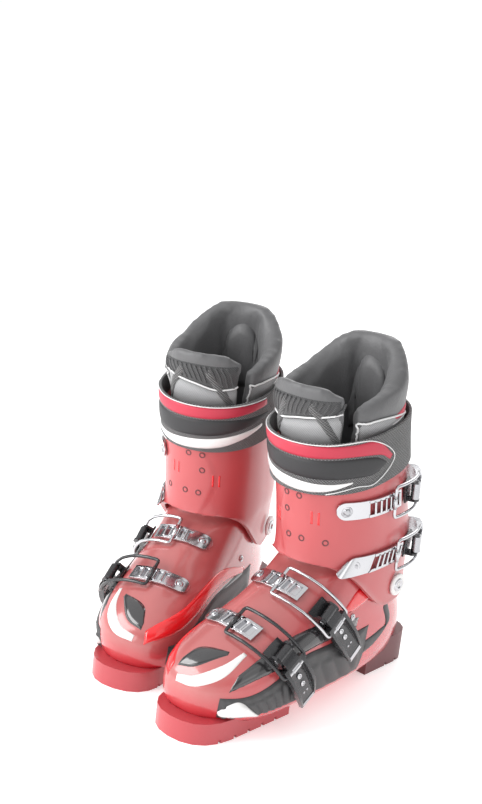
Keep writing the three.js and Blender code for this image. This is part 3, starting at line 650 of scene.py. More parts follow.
def cad_copy(boot, node, material, part, bevel):
    """The solid's own shape, with rounded edges."""
    mesh = frame["nodes"][f"{boot.side}_{node}"].data
    work = bmesh.new()
    work.from_mesh(mesh)
    bmesh.ops.remove_doubles(work, verts=work.verts, dist=1e-5)
    bmesh.ops.dissolve_limit(work, angle_limit=math.radians(1.5), verts=work.verts, edges=work.edges)
    points = boot.local([v.co for v in work.verts])
    work.verts.index_update()
    faces = [tuple(v.index for v in face.verts) for face in work.faces]
    work.free()
    return add_piece(boot, node + "_body", (points, faces), material, part, (node,), bevel)


def catmull(points, count):
    """A smooth line of count points through a few given ones."""
    p = np.asarray(points, float)
    p = np.vstack([2 * p[0] - p[1], p, 2 * p[-1] - p[-2]])
    at = np.linspace(0, len(p) - 3 - 1e-9, count)
    i = at.astype(int)
    t = (at - i)[:, None]
    a, b, c, d = p[i], p[i + 1], p[i + 2], p[i + 3]
    return b + 0.5 * t * (c - a + t * (2 * a - 5 * b + 4 * c - d + t * (3 * (b - c) + d - a)))


def spots(pairs, grow=lambda turn: 0 * turn, above=lambda y: 0 * y):
    """Points on the grown form at (turn in degrees, height above an edge line)."""
    turn = np.radians([t for t, _ in pairs])
    height = np.array([h for _, h in pairs], float)
    g = grow(turn)
    return skin(ring_at_height(turn, g, lambda y: above(y) + height), turn, g)


def surface(points, faces):
    return BVHTree.FromPolygons([tuple(p) for p in np.asarray(points).reshape(-1, 3)], faces)


def laid(tree, low, high, lift=0.7, sink=0.6, columns=48, rows=7, blunt=6):
    """A thin moulding between two lines, pressed on a surface, with pillowed edges."""
    below, above = catmull(low, columns), catmull(high, columns)
    share = np.linspace(0, 1, rows)
    along = np.linspace(-1, 1, columns)
    crown = (1 - abs(2 * share - 1) ** 4)[:, None] * (1 - abs(along) ** (2 * blunt))[None]
    flat = below[None] * (1 - share)[:, None, None] + above[None] * share[:, None, None]
    top, bottom = flat.copy(), flat.copy()
    for i in range(rows):
        for j in range(columns):
            place, normal, _, _ = tree.find_nearest(Vector(flat[i, j]))
            top[i, j] = place + normal * (0.12 + lift * crown[i, j])
            bottom[i, j] = place - normal * sink
    return plate(top, bottom)


def turned(centre, axis, profile, sides=32):
    """A lathe shape: (radius, height) steps round an axis."""
    axis = np.asarray(axis, float) / np.linalg.norm(axis)
    side = np.cross(axis, [0, 0, 1] if abs(axis[2]) < 0.9 else [0, 1, 0])
    side /= np.linalg.norm(side)
    other = np.cross(axis, side)
    angle = np.linspace(0, 2 * math.pi, sides, endpoint=False)
    ring = np.cos(angle)[:, None] * side + np.sin(angle)[:, None] * other
    rows = [np.asarray(centre, float) + ring * r + axis * h for r, h in profile]
    return np.concatenate(rows), capped(len(rows), sides)


def wire(points, radius, sides=10, closed=False, corner=0.0):
    """A round wire along points; corner rounds each bend."""
    p = np.asarray(points, float)
    if corner:
        path = []
        for i in range(len(p)):
            if not closed and i in (0, len(p) - 1):
                path.append(p[i])
                continue
            before, after = p[i - 1] - p[i], p[(i + 1) % len(p)] - p[i]
            reach = min(corner, np.linalg.norm(before) / 2, np.linalg.norm(after) / 2)
            a = p[i] + before / np.linalg.norm(before) * reach
            b = p[i] + after / np.linalg.norm(after) * reach
            path += [(1 - s) ** 2 * a + 2 * s * (1 - s) * p[i] + s * s * b for s in np.linspace(0, 1, 6)]
        p = np.array(path)
    ahead = np.roll(p, -1, 0) - np.roll(p, 1, 0)
    if not closed:
        ahead[0], ahead[-1] = p[1] - p[0], p[-1] - p[-2]
    ahead /= np.linalg.norm(ahead, axis=1, keepdims=True)
    side = np.cross(ahead[0], [0.3, 0.5, 0.8])
    rings = []
    angle = np.linspace(0, 2 * math.pi, sides, endpoint=False)
    for place, direction in zip(p, ahead):
        side = side - direction * (side @ direction)
        side /= np.linalg.norm(side)
        other = np.cross(direction, side)
        rings.append(place + radius * (np.cos(angle)[:, None] * side + np.sin(angle)[:, None] * other))
    faces = grid_faces(len(rings), sides, wrap_rows=True) if closed else capped(len(rings), sides)
    return np.concatenate(rings), faces


print("piece helpers ready")

# %% [markdown]
# ## The lower shell
# The real shell is one thick injection-moulded cup with an open throat. A lathe or a box can't give its
# shape, and sculpting would lose the size, so it is lofted: rows of points up the outside, over the rim
# and down the inside. The wear value is high at the rim, where shells are knocked. Each point also has a
# depth: deep red low down, along the sole, up the heel and on the sides, and pale on the top of the toe
# box and instep, where the light falls, which is a painted highlight.

# %% Lower shell
AROUND = 128


def full_turn(count=AROUND):
    return np.linspace(0, 2 * math.pi, count, endpoint=False)


def lower_shell():
    turn = full_turn()
    share = np.linspace(0, 1, 61)[:, None]
    inner_front = smooth(1.5, 1.35, abs(turn - 5.3)) * smooth(0.62, 0.55, abs(turn - 5.4))
    flap = 0.7 * smooth(0.5, 0.56, share) * inner_front
    top = ring_at_height(turn, 0 * turn, shell_rim)
    outside = skin(share * top, turn, -flap)
    inner = -SHELL_WALL + 0 * turn
    floor_ring = ring_at_height(turn, inner, lambda y: 0 * y + SOLE_THICKNESS + SHELL_WALL)
    rim_ring = ring_at_height(turn, inner, shell_rim)
    inside = skin(floor_ring + (rim_ring - floor_ring) * share[::-1], turn, inner)
    rows = np.concatenate([outside, inside])
    rubbed = smooth(0.96, 1.0, share) + 0 * turn
    wear = np.concatenate([rubbed, rubbed[::-1]])
    return (rows, capped(len(rows), AROUND)), wear.ravel(), surface(outside, grid_faces(61, AROUND))


def shell_depth_and_painted_highlight(points):
    """How deep the red is: strong along the sole and up the heel, pale on the top of the toe box and instep,
    which is a painted highlight.
    """
    low = smooth(SOLE_THICKNESS + 34, SOLE_THICKNESS + 4, points[..., 2])
    heel = smooth(-20, 90, points[..., 1]) * 0.4
    side = smooth(18, 48, np.abs(points[..., 0])) * 0.35
    return np.clip(0.12 + 0.75 * low + heel + side, 0, 1).ravel()


shell_shape, shell_wear, ON_SHELL = lower_shell()
# Each shell point carries its wear and its depth; a low depth, on the top, leaves the painted highlight.
for boot in boots:
    add_piece(boot, "shell", shell_shape, RED_SHELL, "shell", ("lower_shell",), 0.8,
              values={"wear": shell_wear, "deep": shell_depth_and_painted_highlight(shell_shape[0])})
print("lower shell:", len(shell_shape[1]), "faces")

# %% [markdown]
# ## Soles
# The lugs are the standard blocks that a binding grips. Their solids already have the right outline and
# tread, so the same shape is kept, with its edges rounded, and only the heel is darker.

# %% Soles
for boot in boots:
    cad_copy(boot, "toe_sole", RED_SOLE, "shell", 0.9)
    cad_copy(boot, "heel_sole", HEEL_RED, "shell", 0.9)
    cad_copy(boot, "boot_board", BLACK_PANEL, "shell", 0.6)
    cad_copy(boot, "footbed", FOAM, "shell", 1.0)
print("soles and boards placed")

# %% [markdown]
# ## Side panels
# A ribbed panel stiffens each side above the sole. Its ribs fan out forwards, so the rib height is a
# wave whose phase shifts with height as well as with the turn. The panel thins to nothing at its edges.

# %% Side panels
def panel_rim(y):
    return SOLE_THICKNESS + 28 + 24 * smooth(-0.78 * HALF_SOLE, -0.24 * HALF_SOLE, y)


def side_panel(start, end, ribs, fan):
    columns, rows = 150, 26
    turn = np.radians(np.linspace(start, end, columns))
    share = np.linspace(0, 1, rows)[:, None]
    u = np.linspace(0, 1, columns)
    base = 0 * turn + PLATE_SEAT
    low = ring_at_height(turn, base, lambda y: 0 * y + 20.5)
    high = ring_at_height(turn, base, panel_rim)
    ends = smooth(0, 0.06, u) * smooth(0, 0.06, 1 - u)
    edge = np.minimum(ends, smooth(0, 0.12, share) * smooth(0, 0.12, 1 - share))
    wave = 0.5 + 0.5 * np.cos(2 * math.pi * (ribs * u + fan * share))
    grow = 0.3 + edge * (1.6 + 1.5 * wave ** 0.5 * smooth(0, 0.1, 0.72 - share))
    v = low + (high - low) * share
    top, bottom = skin(v, turn, grow), skin(v, turn, -0.6 + 0 * grow)
    wear = np.concatenate([(wave * edge).ravel() * 0.5, np.zeros(rows * columns)])
    return plate(top, bottom), wear


lateral_shape, lateral_wear = side_panel(38, 118, 15, 2.2)
medial_shape, medial_wear = side_panel(-118, -42, 3, 5.0)
for boot in boots:
    add_piece(boot, "ribbed_panel", lateral_shape, BLACK_PANEL, "shell", ("lateral_panel",),
              values={"wear": lateral_wear})
    add_piece(boot, "inner_panel", medial_shape, BLACK_PANEL, "shell", ("medial_panel",),
              values={"wear": medial_wear})
arrow_low = spots([(38, 25), (46, 22), (56, 21), (66, 21)], lambda turn: 0 * turn + 2)
arrow_high = spots([(38, 27), (44, 36), (51, 38), (63, 23)], lambda turn: 0 * turn + 2)
arrow_shape = laid(ON_SHELL, arrow_low, arrow_high, 5.0)
for boot in boots:
    add_piece(boot, "panel_arrow", arrow_shape, WHITE_INLAY)
print("panels:", len(lateral_shape[1]), "faces each side")

# %% [markdown]
# ## Coloured mouldings on the shell
# The black, white and bright red fields are separate mouldings set in the shell. Painting them in the
# shader would give soft edges and no relief. Each is a thin body between two lines, pressed on the
# shell with a nearest-point search, so that it follows the form.

# %% Shell mouldings
MOULDINGS = [
    ("toe_window", BLACK_GLOSS, 1.0,
     [(-15, -137, 53), (2, -133, 58), (18, -113, 69)], [(-15, -132, 58), (-7, -119, 68), (17, -110, 71)]),
    ("toe_flash", WHITE_INLAY, 0.8,
     [(-10, -146, 44), (10, -143, 46), (26, -125, 55), (29, -101, 70)],
     [(-11, -142, 49), (6, -137, 53), (20, -120, 62), (26, -102, 72)]),
    ("side_gloss", BLACK_GLOSS, 1.0,
     [(30, -122, 44), (44, -80, 57), (49, -38, 66), (47, 30, 68)],
     [(33, -114, 57), (41, -70, 78), (46, -20, 84), (46, 34, 76)]),
    ("heel_strip", BLACK_PANEL, 1.0,
     [(41, 82, 72), (41, 88, 54), (44, 68, 42), (47, 44, 38)],
     [(43, 90, 80), (38, 98, 56), (42, 72, 52), (47, 46, 50)]),
    ("accent", BRIGHT_RED, 0.9,
     [(46, 8, 84), (46, 28, 85), (45, 48, 90)], [(44, 12, 90), (44, 32, 104), (44, 50, 96)]),
    ("inner_wave", BRIGHT_RED, 0.9,
     [(-20, -139, 42), (-38, -106, 50), (-44, -56, 64), (-43, -17, 68), (-42, 30, 62)],
     [(-19, -135, 52), (-35, -100, 64), (-41, -52, 78), (-41, -17, 80), (-42, 32, 68)]),
    ("inner_gloss", BLACK_GLOSS, 0.7,
     [(-40, -96, 34), (-44, -50, 44), (-43, 10, 48), (-41, 48, 50)],
     [(-40, -96, 46), (-44, -50, 62), (-43, 10, 66), (-41, 48, 60)]),
]
for name, material, lift, low, high in MOULDINGS:
    shape = laid(ON_SHELL, low, high, lift)
    for boot in boots:
        add_piece(boot, name, shape, material)


def studs(tree, places, profile):
    """Small turned fittings, square to a surface."""
    shapes = []
    for place in places:
        spot, normal, _, _ = tree.find_nearest(Vector(place))
        shapes.append(turned(spot, normal, profile, 20))
    return together(*shapes)


BOLT = [(0.1, 1.9), (1.4, 1.9), (1.6, 0.9), (1.7, 1.6), (3.0, 1.3), (3.4, 0.4), (3.4, -0.6), (0.1, -0.6)]
bolt_shape = studs(ON_SHELL, [(46, 23, 79), (-44, 23, 79)], BOLT)
for boot in boots:
    add_piece(boot, "shell_bolts", bolt_shape, CHROME)
print("mouldings:", len(MOULDINGS), "on each shell")

# %% [markdown]
# ## The cuff
# The cuff wraps the leg and swings on two bolts at the ankle. Its outer flap laps over the inner one in
# front, which shows as a step. It is lofted like the shell, with hems that dip round the pivots.

# %% Cuff
def cuff():
    turn = full_turn(160)
    rows = 44
    share = np.linspace(0, 1, rows)[:, None]

    def face(grow, wave):
        low, high = ring_at_height(turn, grow, cuff_hem), ring_at_height(turn, grow, cuff_rim)
        return skin(low + (high - low) * wave, turn, grow + 0 * wave)

    signed = (np.degrees(turn) + 180) % 360 - 180
    lap_line = -14 + 6 * np.sin(9 * share)
    lap = 0.9 * smooth(lap_line, lap_line - 2, signed) * smooth(-150, -120, signed)
    outer = cuff_outer(turn)
    low, high = ring_at_height(turn, outer, cuff_hem), ring_at_height(turn, outer, cuff_rim)
    lip = 0.5 * smooth(0.95, 0.99, share) + 0.5 * smooth(0.05, 0.01, share)
    outside = skin(low + (high - low) * share, turn, outer - lap + lip)
    inside = face(cuff_inner(turn), share[::-1])
    rubbed = np.maximum(smooth(0.93, 1, share), smooth(0.06, 0, share)) + 0 * turn
    wear = np.concatenate([rubbed, 0 * rubbed])
    shape = (np.concatenate([outside, inside]), grid_faces(2 * rows, 160, wrap_rows=True))
    return shape, wear.ravel(), surface(outside, grid_faces(rows, 160))


cuff_shape, cuff_wear, ON_CUFF = cuff()
HOLE = [(0.1, -0.9), (1.7, -0.9), (1.9, 0.25), (3.0, 0.35), (3.3, -0.4), (0.1, -1.5)]
HOLES = [(-9, 192), (6, 192), (-6, 152), (9, 152), (-9, 176), (30, 152)]
hole_shape = studs(ON_CUFF, spots(HOLES, cuff_outer), HOLE)
SLOTS = [(18, 168), (24, 168), (-20, 160), (-26, 160), (20, 216), (26, 216)]


def slot_marks():
    shapes = []
    for turn, height in SLOTS:
        low = spots([(turn - 0.9, height), (turn - 0.9, height + 12)], cuff_outer)
        high = spots([(turn + 0.9, height), (turn + 0.9, height + 12)], cuff_outer)
        shapes.append(laid(ON_CUFF, low, high, 0.35, 0.3, 12, 5))
    return together(*shapes)


slot_shape = slot_marks()
for boot in boots:
    add_piece(boot, "cuff_shell", cuff_shape, RED_CUFF, "cuff", ("cuff",), 0.9,
              values={"wear": cuff_wear})
    add_piece(boot, "cuff_holes", hole_shape, HEEL_RED, "cuff")
    add_piece(boot, "cuff_slots", slot_shape, BRIGHT_RED, "cuff")
print("cuff:", len(cuff_shape[1]), "faces")

# %% [markdown]
# ## Pivot bolts
# A domed bolt with a round socket on a bright washer holds the cuff. The bolt's own solid says how far
# out its head lies, and turned rings make the washer, the white collar and the socket.

# %% Pivots
HEAD = [(0.1, 1.2), (2.9, 1.2), (3.0, 3.0), (5.2, 3.0), (6.2, 2.6), (6.6, 1.6), (6.6, 0.2), (0.1, 0.2)]
WASHER = [(6.4, 1.9), (8.0, 2.3), (10.2, 2.0), (11.0, 1.0), (11.0, -0.4), (6.4, -0.4)]
for boot in boots:
    for name, sign in (("lateral", 1), ("medial", -1)):
        solid = boot.local([v.co for v in frame["nodes"][f"{boot.side}_{name}_pivot"].data.vertices])
        face = max(sign * solid[:, 0]) - 3
        centre = (sign * face, PIVOT_Y, PIVOT_HEIGHT)
        add_piece(boot, name + "_bolt", turned(centre, (sign, 0, 0), HEAD, 40), CHROME, "shell",
                  (name + "_pivot",))
        add_piece(boot, name + "_collar", turned(centre, (sign, 0, 0), WASHER, 48), WHITE_INLAY)
print("pivot bolts placed")

# %% [markdown]
# ## Padded liner
# The liner's collar is foam under soft leather. A clean loft looks like sheet metal, so the collar
# starts as a slightly thin loft, is remeshed to even cells and blown up a little with a cloth
# simulation: the cloth finds the round rim and the soft hollows that foam has. How far a point may move
# is capped, less inside the cuff, where there is no room, and more above it.

# %% Inflate a pad
VOXEL = 0.0048
FRAMES = 20


def evaluated(thing):
    """The mesh of an object with its modifiers applied, as (points, faces)."""
    graph = bpy.context.evaluated_depsgraph_get()
    mesh = thing.evaluated_get(graph).to_mesh()
    points = np.array([v.co for v in mesh.vertices], float)
    faces = [tuple(p.vertices) for p in mesh.polygons]
    thing.evaluated_get(graph).to_mesh_clear()
    return points, faces


def temporary(points, faces):
    mesh = bpy.data.meshes.new("pad")
    mesh.from_pydata(np.asarray(points).tolist(), [], faces)
    work = bmesh.new()
    work.from_mesh(mesh)
    bmesh.ops.recalc_face_normals(work, faces=work.faces)
    work.to_mesh(mesh)
    work.free()
    thing = bpy.data.objects.new("pad", mesh)
    bpy.context.scene.collection.objects.link(thing)
    return thing


def inflated(shape, most):
    """Remesh, blow up with cloth and cap the movement; most(points in mm) gives the cap in mm."""
    thing = temporary(np.asarray(shape[0]) * MM, shape[1])
    remesh = thing.modifiers.new("even cells", "REMESH")
    remesh.mode = "VOXEL"
    remesh.voxel_size = VOXEL
    even = evaluated(thing)
    bpy.data.objects.remove(thing)
    thing = temporary(*even)
    relax = thing.modifiers.new("relax", "SMOOTH")
    relax.iterations = 4
    rest, faces = evaluated(thing)
    bpy.data.objects.remove(thing)
    thing = temporary(rest, faces)
    cloth = thing.modifiers.new("cloth", "CLOTH")
    cloth.settings.use_pressure = True
    cloth.settings.uniform_pressure_force = 4
    cloth.settings.effector_weights.gravity = 0
    cloth.settings.quality = 4
    cloth.collision_settings.use_collision = False
    cloth.point_cache.frame_end = FRAMES
    for step in range(1, FRAMES + 1):
        bpy.context.scene.frame_set(step)
    blown, _ = evaluated(thing)
    bpy.context.scene.frame_set(1)
    bpy.data.objects.remove(thing)
    move = (blown - rest) / MM
    length = np.linalg.norm(move, axis=1) + 1e-9
    allowed = np.minimum(length, most(rest / MM))
    return rest / MM + move / length[:, None] * allowed[:, None], faces


# %% Collar and tongue lofts
LINER_OUT = -(SHELL_WALL + LINER_PLAY)
COLLAR_OPEN, TONGUE_HALF = 54, 46


def fill_out(share):
    in_shell = LINER_OUT - LEG_PLAY
    return in_shell + (CUFF_PLAY - 1.2 - in_shell) * smooth(0.42, 0.65, share)


def padded_patch(start, end, low_edge, high_edge, outer, inner, columns, rows):
    """A pad from one turn to another: its cross-section runs up the outside and down the inside."""
    turn = np.radians(np.linspace(start, end, columns))
    from_back = np.abs(np.degrees(turn) % 360 - 180)
    share = np.linspace(0, 1, rows)[:, None]
    sides = []
    for grow in (outer, inner):
        low = ring_at_height(turn, grow(0 * turn), low_edge)
        high = ring_at_height(turn, grow(0 * turn + 1), lambda y: high_edge(y, from_back))
        sides.append(skin(low + (high - low) * share, turn, grow(share + 0 * turn)))
    sections = [np.concatenate([sides[0][:, j], sides[1][::-1, j]]) for j in range(columns)]
    return np.concatenate(sections), capped(columns, 2 * rows)


def collar_out(share):
    return fill_out(share) + 4.2 * smooth(0.82, 0.95, share) - 0.8 - 2.0 * smooth(0.97, 1, share)


def collar_in(share):
    in_shell = LEG_PLAY * (1 - smooth(0.42, 0.65, share))
    return fill_out(share) - COLLAR_WALL + in_shell + 0.8 + 2.5 * smooth(0.97, 1, share)


def tongue_out(share):
    roll = 2.2 * smooth(0.80, 0.88, share) - 1.6 * smooth(0.96, 1, share)
    return fill_out(share) + 3 * smooth(0.5, 0.8, share) - 0.8 + roll


def tongue_in(share):
    return fill_out(share) + 3 * smooth(0.5, 0.8, share) - 9 + 0.6 - 2.0 * smooth(0.84, 0.92, share)


def tongue_hem(y):
    return PIVOT_HEIGHT + 26 - 0.37 * (y - PIVOT_Y)


def collar_rim(y, side):
    """The collar's arch: highest behind, rounded at the corners; side is the angle from the back."""
    slope = 0.85 * (np.hypot(62 - y, 20) + 62 - y) / 2
    return LEG_TOP + 13 - slope - 9 * smooth(22, 68, side) * smooth(120, 72, side)


def tongue_rim(y, side):
    return LEG_TOP - 32 - 7 * smooth(155, 134, side) + 0 * y


def collar_cap(points):
    return np.where(points[:, 2] > 255, 3.2, 0.7)


collar_loft = padded_patch(
    COLLAR_OPEN, 360 - COLLAR_OPEN, collar_hem, collar_rim, collar_out, collar_in, 90, 40)
tongue_loft = padded_patch(
    -TONGUE_HALF, TONGUE_HALF, tongue_hem, tongue_rim, tongue_out, tongue_in, 40, 36)
collar_shape = inflated(collar_loft, collar_cap)
tongue_shape = inflated(tongue_loft, collar_cap)
ON_COLLAR = surface(*collar_shape)
ON_TONGUE = surface(*tongue_shape)
for boot in boots:
    collar = add_piece(boot, "collar_pad", collar_shape, LEATHER, "cuff", ("liner_collar",),
                       levels=1)
    tongue = add_piece(boot, "tongue_pad", tongue_shape, LEATHER, "cuff", ("liner_tongue",),
                       levels=1)
print("collar:", len(collar_shape[1]), "faces, tongue:", len(tongue_shape[1]))

# %% [markdown]
# ## The liner's foot
# Down in the shell the liner is a foam sock. Only its dark inside shows from above, so a smooth cup
# with a rounded rim is enough.

# %% Liner foot
def liner_split(y):
    return PIVOT_HEIGHT - 6 - 0.25 * (y - PIVOT_Y)


def liner_foot(around=96):
    turn = full_turn(around)
    share = np.linspace(0, 1, 24)[:, None]
    rows = []
    for grow, base, order in ((LINER_OUT, 24.4, 1), (LINER_OUT - LINER_WALL, 29, -1)):
        g = grow + 0 * turn
        low = ring_at_height(turn, g, lambda y: 0 * y + base)
        high = ring_at_height(turn, g, liner_split)
        rows.append(skin(low + (high - low) * share, turn, g)[::order])
    return np.concatenate(rows), capped(48, around)


foot_shape = liner_foot()
for boot in boots:
    sock = add_piece(boot, "liner_sock", foot_shape, FOAM, "shell", ("liner_foot",), 1.5)
print("liner foot:", len(foot_shape[1]), "faces")

# %% [markdown]
# ## Trims of the liner
# Silver side flaps, a ribbed panel on the tongue, white piping and a red field inside the heel of the
# collar are sewn on. They are thin mouldings pressed on the pad's own surface, and piping is a wire laid
# along a seam. The pull straps cross the tongue from the eyelets to the roll.

# %% Liner trims
LEG_MIDDLE, LEG_RADIUS = 20, 52


def pressed(tree, line, lift=0.6, count=60):
    """A seam line laid on a surface."""
    out = []
    for place in catmull(line, count):
        spot, normal, _, _ = tree.find_nearest(Vector(place))
        out.append(np.array(spot) + np.array(normal) * lift)
    return out


def threads_of(points):
    """Thread coordinates in mm: round the leg and up it."""
    x, y, z = np.asarray(points).reshape(-1, 3).T
    return np.stack([np.arctan2(x, LEG_MIDDLE - y) * LEG_RADIUS, z - LEAN_SLOPE * y, 0 * x], 1)


def collar_spots(pairs):
    return spots(pairs, lambda turn: 0 * turn + 3)


def tongue_spots(pairs):
    return spots(pairs, lambda turn: 0 * turn + 3.5)


FLAP_LOW = [(58, 226), (80, 234), (104, 246), (128, 256)]
FLAP_HIGH = [(58, 266), (80, 270), (104, 270), (128, 268)]
SILVER_LOW = [(-43, 216), (-20, 212), (0, 210), (20, 212), (43, 216)]
SILVER_HIGH = [(-43, 262), (-22, 258), (0, 262), (22, 266), (43, 272)]
RIB_LOW = [(-42, 264), (-22, 260), (0, 264), (22, 268), (42, 274)]
RIB_HIGH = [(-42, 284), (-20, 283), (0, 283), (20, 283), (42, 284)]
RED_LOW = [(96, 262), (120, 268), (150, 272), (180, 273)]
RED_HIGH = [(96, 268), (120, 277), (150, 282), (180, 284)]
ARCH_LOW = [(140, 236), (160, 240), (180, 242), (200, 240), (220, 236)]
ARCH_HIGH = [(140, 262), (158, 300), (180, 312), (202, 300), (220, 262)]
PULLS = [
    ([(-40, 232), (-22, 256), (-8, 276)], [(-42, 244), (-26, 266), (-14, 282)]),
    ([(40, 236), (26, 258), (12, 276)], [(42, 248), (30, 268), (18, 282)]),
]


def mirrored(pairs):
    return [(-turn, height) for turn, height in pairs]


def liner_trims():
    def band(tree, place, low, high, lift):
        return laid(tree, place(low), place(high), lift)

    trims = [
        ("flap_outer", SILVER, band(ON_COLLAR, collar_spots, FLAP_LOW, FLAP_HIGH, 1.1)),
        ("flap_inner", SILVER, band(ON_COLLAR, collar_spots, mirrored(FLAP_LOW), mirrored(FLAP_HIGH), 1.1)),
        ("tongue_silver", SILVER, band(ON_TONGUE, tongue_spots, SILVER_LOW, SILVER_HIGH, 1.2)),
        ("tongue_ribs", RIBBED, band(ON_TONGUE, tongue_spots, RIB_LOW, RIB_HIGH, 1.2)),
        ("heel_red_outer", PATCH_RED, band(ON_COLLAR, collar_spots, RED_LOW, RED_HIGH, 0.8)),
        ("heel_red_inner", PATCH_RED,
         band(ON_COLLAR, collar_spots, mirrored(RED_LOW), mirrored(RED_HIGH), 0.8)),
    ]
    piping = [wire(pressed(ON_TONGUE, tongue_spots(RIB_LOW), 1.3), 0.9, 8)]
    seams = [(FLAP_HIGH, 1.1, 0.9), ([(58, 226), (56, 246), (58, 266)], 1.1, 0.9), (RED_LOW, 0.9, 0.7)]
    for line, lift, radius in seams:
        for pairs in (line, mirrored(line)):
            piping.append(wire(pressed(ON_COLLAR, collar_spots(pairs), lift), radius, 8))
    trims.append(("liner_piping", PIPING, together(*piping)))
    ribs = []
    for k in range(15):
        turn = -38 + 5.4 * k
        line = tongue_spots([(turn, 268 + 0.12 * turn), (turn + 3, 275), (turn + 7, 282)])
        ribs.append(wire(pressed(ON_TONGUE, line, 1.1, 8), 1.0, 8))
    trims.append(("tongue_cording", RIBBED, together(*ribs)))
    straps = [band(ON_TONGUE, tongue_spots, low, high, 2.2) for low, high in PULLS]
    trims.append(("pull_straps", WEBBING, together(*straps)))
    arch_low, arch_high = [spots(line, lambda turn: 0 * turn - 9) for line in (ARCH_LOW, ARCH_HIGH)]
    trims.append(("heel_arch", LEATHER, laid(ON_COLLAR, arch_low, arch_high, 3.5, 0.5)))
    return trims


trims = liner_trims()
for name, material, shape in trims:
    for boot in boots:
        add_piece(boot, name, shape, material, "cuff", values={"threads": threads_of(shape[0])})
print("liner trims:", [name for name, _, _ in trims])

# %% [markdown]
# ## The power strap
# A wide woven band is closed round the top of the cuff. Its weave needs directions, so every point
# carries its own thread coordinates in millimetres, round the leg and up it. A printed patch is sewn on
# in front: a red band, a black arrow and a pale lower edge.

# %% Power strap
def strap_face(grow, order, turn, share):
    low = ring_at_height(turn, grow, strap_hem)
    high = ring_at_height(turn, grow, lambda y: strap_hem(y) + STRAP_WIDTH)
    return skin(low + (high - low) * share, turn, grow + 0 * share)[::order]


def power_strap():
    turn = full_turn(160)
    share = np.linspace(0, 1, 16)[:, None]
    ripple = 0.25 * np.sin(5 * turn) * np.sin(math.pi * share)
    outside = strap_face(strap_outer(turn) - 0.25 + ripple, 1, turn, share)
    inside = strap_face(strap_outer(turn) - STRAP_THICKNESS, -1, turn, share)
    shape = (np.concatenate([outside, inside]), grid_faces(32, 160, wrap_rows=True))
    return shape, surface(outside, grid_faces(16, 160))


def strap_spots(pairs):
    """(turn in degrees, share of the strap's width)."""
    return spots([(turn, share * STRAP_WIDTH) for turn, share in pairs], strap_outer, strap_hem)


strap_shape, ON_STRAP = power_strap()
PATCHES = [
    ("strap_red", PATCH_RED, 0.8,
     [(-72, 0.80), (-30, 0.74), (10, 0.73), (50, 0.72), (74, 0.62), (86, 0.44)],
     [(-72, 0.92), (-30, 0.97), (10, 0.97), (50, 0.95), (72, 0.90), (90, 0.50)]),
    ("strap_black", PATCH_BLACK, 0.9,
     [(-80, 0.60), (-30, 0.40), (10, 0.34), (50, 0.30), (68, 0.28), (82, 0.40)],
     [(-80, 0.62), (-30, 0.70), (10, 0.70), (50, 0.68), (70, 0.60), (82, 0.42)]),
    ("strap_pale", WHITE_INLAY, 0.7,
     [(-66, 0.38), (-30, 0.14), (5, 0.06), (30, 0.08), (50, 0.20)],
     [(-66, 0.44), (-30, 0.33), (5, 0.26), (30, 0.22), (50, 0.23)]),
]
outline = [(-70, 0.96), (-20, 0.985), (30, 0.985), (66, 0.95), (92, 0.47), (70, 0.10), (52, 0.12), (30, 0.03)]
stitch_line = wire(pressed(ON_STRAP, strap_spots(outline), 0.5, 120), 0.55, 6)
for boot in boots:
    add_piece(boot, "strap_band", strap_shape, WEBBING, "cuff", ("power_strap",), 0.8,
              values={"threads": threads_of(strap_shape[0])})
    for name, material, lift, low, high in PATCHES:
        add_piece(boot, name, laid(ON_STRAP, strap_spots(low), strap_spots(high), lift), material, "cuff")
    add_piece(boot, "strap_stitching", stitch_line, PIPING, "cuff")
print("strap and", len(PATCHES), "patches")

# %% [markdown]
# ## Buckles
# A buckle lies in a slanted plane across the boot. Its ladder is riveted on the inner side, its base
# and lever on the outer side, and a wire bail joins them. Distances are measured along the skin in the
# buckle's plane, starting at the hinge, so one description fits all eight buckles.

# %% Buckle sites
HINGE_HEIGHT, LEVER_UNDERSIDE, LEVER_THICKNESS, LEVER_LENGTH = 9.4, 6.8, 6.2, 56
LEVER_HALF, NECK_HALF, LADDER_HALF, BAIL_REACH, BAIL_WIRE, BAR_GAP = 12.4, 7.8, 8.5, 13, 3.2, 1.7
TOOTH_PITCH = 7


class Site:
    """Where one buckle lies: arc along the skin from the hinge, height off it, shift along the pins."""

    def __init__(self, height, tilt, hinge_turn, grow):
        self.grow = grow
        start = ring_at_height(np.array(0.0), grow(0.0), lambda y: 0 * y + height)
        self.start = skin(start, 0.0, grow(0.0))
        self.along = np.array([0, math.cos(math.radians(tilt)), math.sin(math.radians(tilt))])
        turn = math.radians(hinge_turn) + np.radians(np.arange(-45, 46) * 3)
        line = self.at(turn, 0 * turn, 0 * turn)
        length = np.concatenate([[0], np.cumsum(np.linalg.norm(np.diff(line, axis=0), axis=1))])
        self.lengths, self.turns = length - length[45], turn

    def at(self, turn, height, shift):
        turn, height, shift = np.broadcast_arrays(*[np.asarray(a, float) for a in (turn, height, shift)])
        grow = self.grow(turn) + height
        low, high = np.zeros_like(turn), np.zeros_like(turn) + LAST_RING
        for _ in range(26):
            middle = (low + high) / 2
            short = (skin(middle, turn, grow) - self.start) @ self.along < shift
            low, high = np.where(short, middle, low), np.where(short, high, middle)
        return skin((low + high) / 2, turn, grow)

    def hugging(self, arc, height, shift):
        return self.at(np.interp(arc, self.lengths, self.turns), height, shift)

    def straight(self, arc, height, shift):
        base = self.at(np.interp(arc, self.lengths, self.turns), height, 0 * np.asarray(arc, float))
        return base + np.asarray(shift, float)[..., None] * self.along


